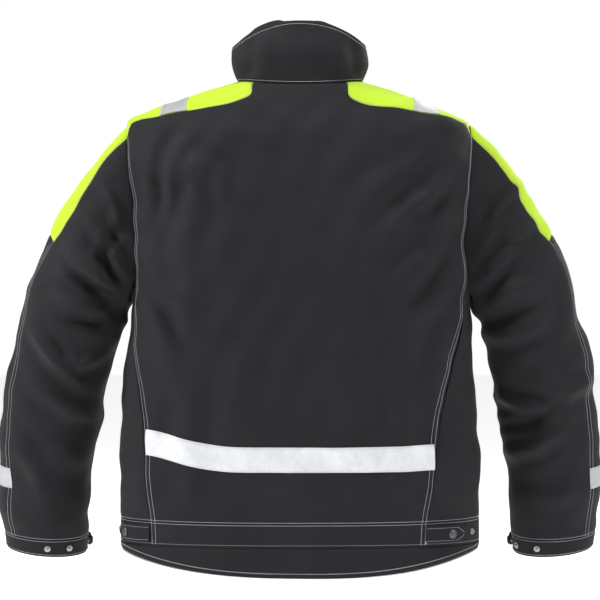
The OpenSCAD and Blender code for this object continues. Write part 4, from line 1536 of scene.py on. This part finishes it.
# ---- the sleeves --------------------------------------------------------------------
@dataclass
class Sleeve:
    """One sleeve: panels, bright stripe, tape, cuff and studs."""

    shop: Shop
    side: Side
    free_studs: tuple[float, ...]
    snap: float = 168.0

    def panel(self, name: str, node: str, mat: bpy.types.Material, slot: str, place: Place, rows: int,
              cols: int,
              ring: bool = False) -> None:
        """One piece of the sleeve's outer cloth."""
        cloth = Cloth(self.arm, place, rows, cols, tuck=TUCK, ring=ring)
        self.shop.settle(cloth.build(f"{name}_{self.side.tag}", mat), self.body, slot,
                         f"{node}_{self.side.tag}")

    def build(self) -> None:
        """Makes the sleeve."""
        self.arm = Arm(self.side)
        self.body = f"sleeve_{self.side.tag}"
        fin, tag, arm = self.shop.finish, self.side.tag, self.arm
        end = CUFF_S - 0.0006
        self.panel("sleeve_cloth_back", "sleeve_back", fin.black, "shell_cloth",
                   lambda s, t: (mix(-180 + 0.05, -STRIPE.one(mix(0.0, end, t)) - GAP, s),
                                 mix(0.0, end, t)), 190, 90)
        self.panel("sleeve_cloth_front", "sleeve_front", fin.black, "shell_cloth",
                   lambda s, t: (mix(STRIPE.one(mix(0.0, end, t)) + GAP, 180 - 0.05, s),
                                 mix(0.0, end, t)), 190, 90)
        self.panel("sleeve_bright_cloth", "sleeve_stripe", fin.bright, "bright_cloth",
                   lambda s, t: (STRIPE.one(mix(0.0, STRIPE_END - 0.001, t)) * (2 * s - 1),
                                 mix(0.0, STRIPE_END - 0.001, t)), 70, 36)
        self.panel("sleeve_strip_cloth", "sleeve_strip", fin.black, "shell_cloth",
                   lambda s, t: (STRIPE.one(mix(STRIPE_END + 0.001, end, t)) * (2 * s - 1),
                                 mix(STRIPE_END + 0.001, end, t)), 140, 44)
        self.panel("cuff_cloth", "cuff", fin.black, "shell_cloth",
                   lambda s, t: (360 * s, mix(CUFF_S + 0.0006, 1.0, t)), 16, 200, True)
        k = 0.038 / SLEEVE_LEN

        def tape(s: Array, t: Array) -> tuple[Array, Array]:
            """Round the outer strip."""
            v = mix(0.765, 0.765 + k, t)
            return (STRIPE.one(v) - 0.5) * (2 * s - 1), v
        # The sleeve tape takes the darker tape copy, whose grey is painted shade.
        ob = Cloth(arm, tape, 12, 60, 0.00005, 0.0009, 0.0004, 0.002).build(f"sleeve_silver_{tag}",
                                                                            fin.silver_dim)
        self.shop.settle(ob, self.body, "reflective", f"sleeve_tape_{tag}")
        s = span(0.02, 0.98, 80)
        lines = [arm.lifted(*tape(s, np.full_like(s, t)), 0.0010) for t in (0.05, 0.95)]
        self.shop.sew(f"sleeve_silver_stitches_{tag}", self.body, lines, fin.pale_thread)
        self.seams()
        self.studs()

    def seams(self) -> None:
        """Topstitching of the sleeve."""
        arm, lines = self.arm, []
        v = span(0.02, CUFF_S - 0.003, 260)
        h = self.side.value
        for k in (1, -1):
            lines.append(seam(arm, k * STRIPE.one(v), v, 0.0018 * k * h))
            w = v[v > STRIPE_END + 0.01]
            lines.append(seam(arm, k * STRIPE.one(w), w, 0.0078 * k * h))
        u = span(0, 360, 300)
        lines.append(seam(arm, u, np.full_like(u, CUFF_S), 0.0020 * h))
        lines.append(seam(arm, u, np.full_like(u, CUFF_S), -0.0020 * h))
        lines.append(seam(arm, u, np.full_like(u, 0.994), 0.0, 0.0001 - tuck_at(0.004)))
        self.shop.sew(f"sleeve_stitches_{self.side.tag}", self.body, lines, self.shop.finish.grey_thread)

    def studs(self) -> None:
        """The studs round the cuff."""
        mid = (1 + CUFF_S) / 2
        seats = [self.arm.seat(a, mid, 0.00025) for a in (*self.free_studs, self.snap)]
        ob = STUD.cast(f"cuff_stud_metal_{self.side.tag}", seats, self.shop.finish.bright_metal)
        self.shop.settle(ob, self.body, "snap_metal", f"cuff_studs_{self.side.tag}")


@dataclass(frozen=True)
class Turned:
    """A small round fitting, turned from a profile of (radius, height) points in metres."""

    profile: tuple[tuple[float, float], ...]
    sides: int = 40

    def cast(self, name: str, seats: Sequence[Matrix], mat: bpy.types.Material) -> bpy.types.Object:
        """Makes one piece with a fitting at every seat.

        Args:
            name: the piece's name.
            seats: placing matrices.
            mat: its metal.

        Returns:
            The object.
        """
        verts: list[Vector] = []
        faces: list[tuple[int, ...]] = []
        n, m = self.sides, len(self.profile)
        for seat in seats:
            base = len(verts)
            for r, h in self.profile:
                for i in range(n):
                    a = 2 * math.pi * i / n
                    verts.append(seat @ Vector((r * math.cos(a), r * math.sin(a), h)))
            for j in range(m - 1):
                for i in range(n):
                    k = (i + 1) % n
                    faces.append((base + j * n + i, base + j * n + k, base + (j + 1) * n + k,
                                  base + (j + 1) * n + i))
            faces.append(tuple(base + i for i in reversed(range(n))))
            faces.append(tuple(base + (m - 1) * n + i for i in range(n)))
        return new_object(name, np.array([tuple(v) for v in verts]), faces, mat,
                          np.array([(v.x, v.z) for v in verts]), 40.0)


STUD = Turned(((0.0047, 0.0), (0.0047, 0.00045), (0.0044, 0.0007), (0.0036, 0.0008), (0.0030, 0.0006),
               (0.0024, 0.0008), (0.0021, 0.0014), (0.0022, 0.0024), (0.0022, 0.0028), (0.0019, 0.0031),
               (0.0010, 0.0032), (0.0006, 0.0029)))
CAP = Turned(((0.0062, 0.0), (0.0065, 0.0003), (0.0065, 0.0008), (0.0061, 0.00115), (0.0054, 0.0012),
              (0.0050, 0.0009), (0.0046, 0.0009), (0.0042, 0.0013), (0.0030, 0.00155), (0.0012, 0.0016)))


class TabSkin(Skin):
    """A strip raised off another skin, from its sewn end to its tip."""

    def __init__(self, under: Skin, root: float, tip: float) -> None:
        """Args: under: the skin below. root: sewn end's angle. tip: tip's angle."""
        self.under, self.root, self.tip = under, root, tip

    def at(self, u: Array, v: Array) -> Array:
        """The strip's under face."""
        u, v = np.broadcast_arrays(np.asarray(u, float), np.asarray(v, float))
        q = (u - self.root) / (self.tip - self.root)
        return self.under.lifted(u, v, 0.0005 + 0.0035 * ease(q / 0.35))

    def normal_of(self, fn: Callable[[Array, Array], Array], u: Array, v: Array) -> Array:
        """The normals of the skin below."""
        return self.under.normal_of(self.under.at, u, v)


@dataclass
class Tab:
    """A pointed tab with its snap cap."""

    shop: Shop
    name: str
    body: str
    under: Skin
    root: float
    tip: float
    cap: float
    mid: float
    half: float
    sewn_to: str = "coat"
    thick: float = 0.0016

    def place(self, s: Array, t: Array) -> tuple[Array, Array]:
        """From the sewn end to the point."""
        width = np.minimum(1, 0.06 + (1 - s) / 0.24)
        return mix(self.root, self.tip, s), self.mid + self.half * width * (2 * t - 1)

    def build(self) -> None:
        """Makes the tab and its cap."""
        skin = TabSkin(self.under, self.root, self.tip)
        cloth = Cloth(skin, self.place, 20, 90, 0.0, self.thick, 0.0005, 0.0015)
        ob = cloth.build(f"{self.name}_cloth", self.shop.finish.black)
        turn = np.array([self.root, mix(self.root, self.tip, 0.12)])
        bend = (self.sewn_to, *skin.lifted(turn, np.full(2, self.mid), self.thick / 2))
        self.shop.settle(ob, self.body, "shell_cloth", self.name, bend=bend)
        s = np.concatenate([span(0.03, 0.70, 40), span(0.72, 0.955, 14)])
        lines = []
        for t in (0.14, 0.86):
            u, v = self.place(s, np.full_like(s, t))
            lines.append(skin.lifted(u, v, self.thick + 0.0001))
        self.shop.sew(f"{self.name}_stitches", self.body, lines, self.shop.finish.grey_thread, 0.0028,
                      (0.0022, 0.0009, 0.0006), bend)
        seat = self.under.seat(self.cap, self.mid, 0.0004 + 0.0040 + self.thick)
        ob = CAP.cast(f"{self.name}_snap", [seat], self.shop.finish.gunmetal)
        self.shop.settle(ob, self.body, "snap_metal", self.name.replace("tab", "cap"))


# ---- zips, pockets, studs ------------------------------------------------------------
@dataclass
class Zips:
    """The front zip, its slider and puller, and the toothed chain inside the hem."""

    shop: Shop
    low: float = HEM_Z + 0.003
    high: float = 0.002
    slider_z: float = -0.002

    def seat(self, z: float) -> Matrix:
        """The zip line at height z: +Z up the zip, -Y outwards."""
        lean = math.atan(FRONT_LEAN)
        return Matrix.Translation((0, float(front_y(z)), z)) @ Matrix.Rotation(-lean, 4, "X")

    def block(self, name: str, parts: Sequence[tuple[Vector, Vector]], seat: Matrix, mat: bpy.types.Material,
              round_by: float) -> bpy.types.Object:
        """Joins rounded blocks into one piece.

        Args:
            name: the piece's name.
            parts: lowest and highest corner of each block.
            seat: placing matrix.
            mat: its finish.
            round_by: rounding of the edges.

        Returns:
            The object.
        """
        bm = bmesh.new()
        for lo, hi in parts:
            one = bmesh.new()
            bmesh.ops.create_cube(one, size=1.0)
            for v in one.verts:
                v.co = Vector([mix(lo[i], hi[i], v.co[i] + 0.5) for i in range(3)])
            bmesh.ops.bevel(one, geom=list(one.edges), offset=round_by, segments=3, affect="EDGES")
            me = bpy.data.meshes.new("block")
            one.to_mesh(me)
            one.free()
            bm.from_mesh(me)
            bpy.data.meshes.remove(me)
        bm.transform(seat)
        verts = np.array([tuple(v.co) for v in bm.verts])
        faces = [[v.index for v in f.verts] for f in bm.faces]
        bm.free()
        return new_object(name, verts, faces, mat, verts[:, [0, 2]], 35.0)

    def build(self) -> None:
        """Makes the zips."""
        fin = self.shop.finish
        base = self.seat(self.low)
        run = (self.high - self.low) / math.cos(math.atan(FRONT_LEAN))
        v3 = Vector
        ob = self.block("zip_tape_cloth", [(v3((k * 0.011 - 0.0072, 0.0032, 0)),
                                            v3((k * 0.011 + 0.0072, 0.0042, run)))
                                           for k in (-1, 1)], base, fin.webbing, 0.0003)
        self.shop.settle(ob, "coat", "knit_tape", "zip_tapes")
        lines = []
        for k, start in ((1, 0.0072), (-1, 0.0087)):
            z = np.array([start, run - 0.004])
            lines.append(np.array([tuple(base @ v3((k * 0.0014, 0.0011, q))) for q in z]))
        ob = self.shop.teeth.run("zip_tooth_chain", lines, 0.003, (0.0018, 0.0046, 0.0036), fin.plastic)
        self.shop.settle(ob, "coat", "zip_plastic", "zip_teeth")
        box = self.block("zip_foot", [(v3((-0.0044, -0.0012, -0.001)), v3((0.0044, 0.0030, 0.004)))], base,
                         fin.gunmetal,
                         0.0006)
        self.shop.settle(box, "coat", "zip_plastic")
        seat = self.seat(self.slider_z)
        ob = self.block("zip_slider_metal",
                        [(v3((-0.0048, -0.0024, -0.012)), v3((0.0048, -0.0012, 0.0))),
                         (v3((-0.0048, -0.0014, -0.012)), v3((-0.0044, 0.0023, 0.0))),
                         (v3((0.0044, -0.0014, -0.012)), v3((0.0048, 0.0023, 0.0))),
                         (v3((-0.0016, -0.0033, -0.0086)), v3((0.0016, -0.0022, -0.0026))),
                         (v3((-0.0016, -0.0064, -0.0086)), v3((0.0016, -0.0059, -0.0026))),
                         (v3((-0.0016, -0.0064, -0.0086)), v3((0.0016, -0.0022, -0.0072))),
                         (v3((-0.0016, -0.0064, -0.0040)), v3((0.0016, -0.0022, -0.0026)))],
                        seat, fin.gunmetal, 0.00019)
        self.shop.settle(ob, "slider", "zip_metal", "zip_slider")
        pin = seat @ Matrix.Translation((0, -0.0046, -0.0056))
        ob = self.block("zip_puller_metal",
                        [(v3((-0.0045, -0.0008, -0.0008)), v3((0.0045, 0.0008, 0.0008))),
                         (v3((-0.0045, -0.0009, -0.012)), v3((-0.0029, 0.0009, 0.0005))),
                         (v3((0.0029, -0.0009, -0.012)), v3((0.0045, 0.0009, 0.0005))),
                         (v3((-0.0045, -0.0009, -0.038)), v3((0.0045, 0.0009, -0.0115)))],
                        pin, fin.gunmetal, 0.0004)
        self.shop.settle(ob, "puller", "zip_metal", "zip_puller")
        u = span(4.0, 176.0, 400)
        tape = Cloth(TAIL, lambda s, t: (mix(4.0, 176.0, s), mix(-0.99, -0.78, t)), 2, 200, -0.0032, -0.0025,
                     0.0)
        ob = tape.build("hem_zip_tape", fin.webbing)
        self.shop.settle(ob, "coat", "knit_tape")
        line = TAIL.lifted(u, np.full_like(u, -1.0), -0.0033) - np.array([0, 0, 0.0008])
        ob = self.shop.teeth.run("hem_zip_teeth", [line], 0.0026, (0.0013, 0.0026, 0.0042), fin.bright_metal)
        self.shop.settle(ob, "coat", "zip_metal", "hem_zip")


@dataclass
class Pockets:
    """Slanted welts of the hand pockets."""

    shop: Shop

    def build(self) -> None:
        """Makes both welts."""
        for side in Side:
            def place(s: Array, t: Array) -> tuple[Array, Array]:
                """A narrow slanting strip."""
                return mix(-54.0, -48.0, s) + 10 * t, mix(0.26, 0.50, t)
            p = sided(place, side)
            welt = Cloth(TRUNK, p, 90, 14, 0.0001, 0.0018, 0.0006, 0.002)
            ob = welt.build(f"hand_pocket_cloth_{side.tag}", self.shop.finish.black)
            self.shop.settle(ob, "coat", "shell_cloth", f"hand_pocket_{side.tag}")
            t = span(0.02, 0.98, 60)
            lines = [TRUNK.lifted(*p(np.full_like(t, s), t), 0.0019) for s in (0.12, 0.88)]
            self.shop.sew(f"hand_pocket_stitches_{side.tag}", "coat", lines, self.shop.finish.grey_thread)


# ---- setting --------------------------------------------------------------------------
@dataclass
class Studio:
    """Pale floor, soft lamps and the camera behind the coat."""

    distance: float = 3.0
    eye_z: float = -0.3155
    width: float = 0.900

    def lamp(self, name: str, place: tuple[float, float, float], aim: tuple[float, float, float], size: float,
             power: float) -> None:
        """One soft square lamp."""
        data = bpy.data.lights.new(name, "AREA")
        data.energy, data.size = power, size
        ob = bpy.data.objects.new(name, data)
        ob.location = place
        ob.rotation_euler = (Vector(aim) - Vector(place)).to_track_quat("-Z", "Y").to_euler()
        bpy.context.scene.collection.objects.link(ob)

    def build(self) -> None:
        """Makes the setting."""
        s = Shade("studio floor")
        grain = s.noise(s.object_xyz(), 40, 3, 0.5)
        mat = s.finish(Base_Color=s.blend(grain, (0.90, 0.90, 0.90, 1), (0.94, 0.94, 0.94, 1)), Roughness=0.9,
                       Emission_Color=(1.0, 1.0, 1.0, 1), Emission_Strength=0.8)
        z = -0.95
        q = 14.0
        floor = new_object("studio_floor", np.array([(-q, -q, z), (q, -q, z), (q, q, z), (-q, q, z)]),
                           [(0, 1, 2, 3)],
                           mat)
        world = bpy.data.worlds.new("studio")
        world.use_nodes = True
        tree = world.node_tree
        seen = tree.nodes["Background"]
        seen.inputs[0].default_value = (1.0, 1.0, 1.0, 1)
        lit = tree.nodes.new("ShaderNodeBackground")
        lit.inputs[1].default_value = 0.14
        path, mixer = tree.nodes.new("ShaderNodeLightPath"), tree.nodes.new("ShaderNodeMixShader")
        tree.links.new(path.outputs["Is Camera Ray"], mixer.inputs[0])
        tree.links.new(lit.outputs[0], mixer.inputs[1])
        tree.links.new(seen.outputs[0], mixer.inputs[2])
        tree.links.new(mixer.outputs[0], tree.nodes["World Output"].inputs[0])
        bpy.context.scene.world = world
        bpy.context.scene.view_settings.view_transform = "Standard"
        mid = (0.0, -0.09, -0.32)
        self.lamp("key", (2.5, 0.85, 1.3), mid, 0.6, 112)
        self.lamp("fill", (-2.5, 0.95, 0.9), mid, 0.8, 42)
        self.lamp("front_key", (-1.6, -2.4, 1.5), mid, 1.6, 60)
        self.lamp("top", (-0.3, 0.6, 2.2), mid, 0.7, 50)
        cam = bpy.data.cameras.new("camera")
        cam.sensor_width = 36.0
        cam.lens = 36.0 * self.distance / self.width
        ob = bpy.data.objects.new("camera", cam)
        ob.location = (0.0, SIDE_Y + self.distance, self.eye_z)
        ob.rotation_euler = (math.radians(90), 0, math.radians(180))
        bpy.context.scene.collection.objects.link(ob)
        bpy.context.scene.camera = ob


def main() -> None:
    """Builds the coat in order."""
    logging.basicConfig(level=logging.INFO, format="%(name)s: %(message)s")
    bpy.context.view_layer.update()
    shop = Shop(Wardrobe(), stitch_repeater(), tooth_repeater())
    Studio().build()
    TrunkPanels(shop).build()
    TrunkTapes(shop).build()
    CollarSet(shop).build()
    Linings(shop).build()
    Sleeve(shop, Side.LEFT, (-96.0, -128.0)).build()
    Sleeve(shop, Side.RIGHT, (-118.0, -157.0)).build()
    mid = BAND_R / 2
    for side, a in ((Side.LEFT, (39.5, 13.0, 22.0, 2.0)), (Side.RIGHT, (52.5, 31.0, 39.5, 21.5))):
        root, tip, cap, _ = (float(on_side(q, side)) for q in a)
        Tab(shop, f"waist_tab_{side.tag}", f"waist_tab_{side.tag}", TRUNK, root, tip, cap, mid,
            0.36 * BAND_R).build()
        Tab(shop, f"cuff_tab_{side.tag}", f"cuff_tab_{side.tag}", Arm(side), 105.0, 180.0, 168.0,
            (1 + CUFF_S) / 2, 0.0165, f"sleeve_{side.tag}").build()
    seats = [TRUNK.seat(q, mid, 0.00025) for q in (22.0, 2.0, 180 - 39.5, 180 - 21.5)]
    shop.settle(STUD.cast("waist_stud_metal", seats, shop.finish.bright_metal), "coat", "snap_metal",
                "waist_studs")
    Zips(shop).build()
    Pockets(shop).build()


if __name__ == "__main__":
    main()
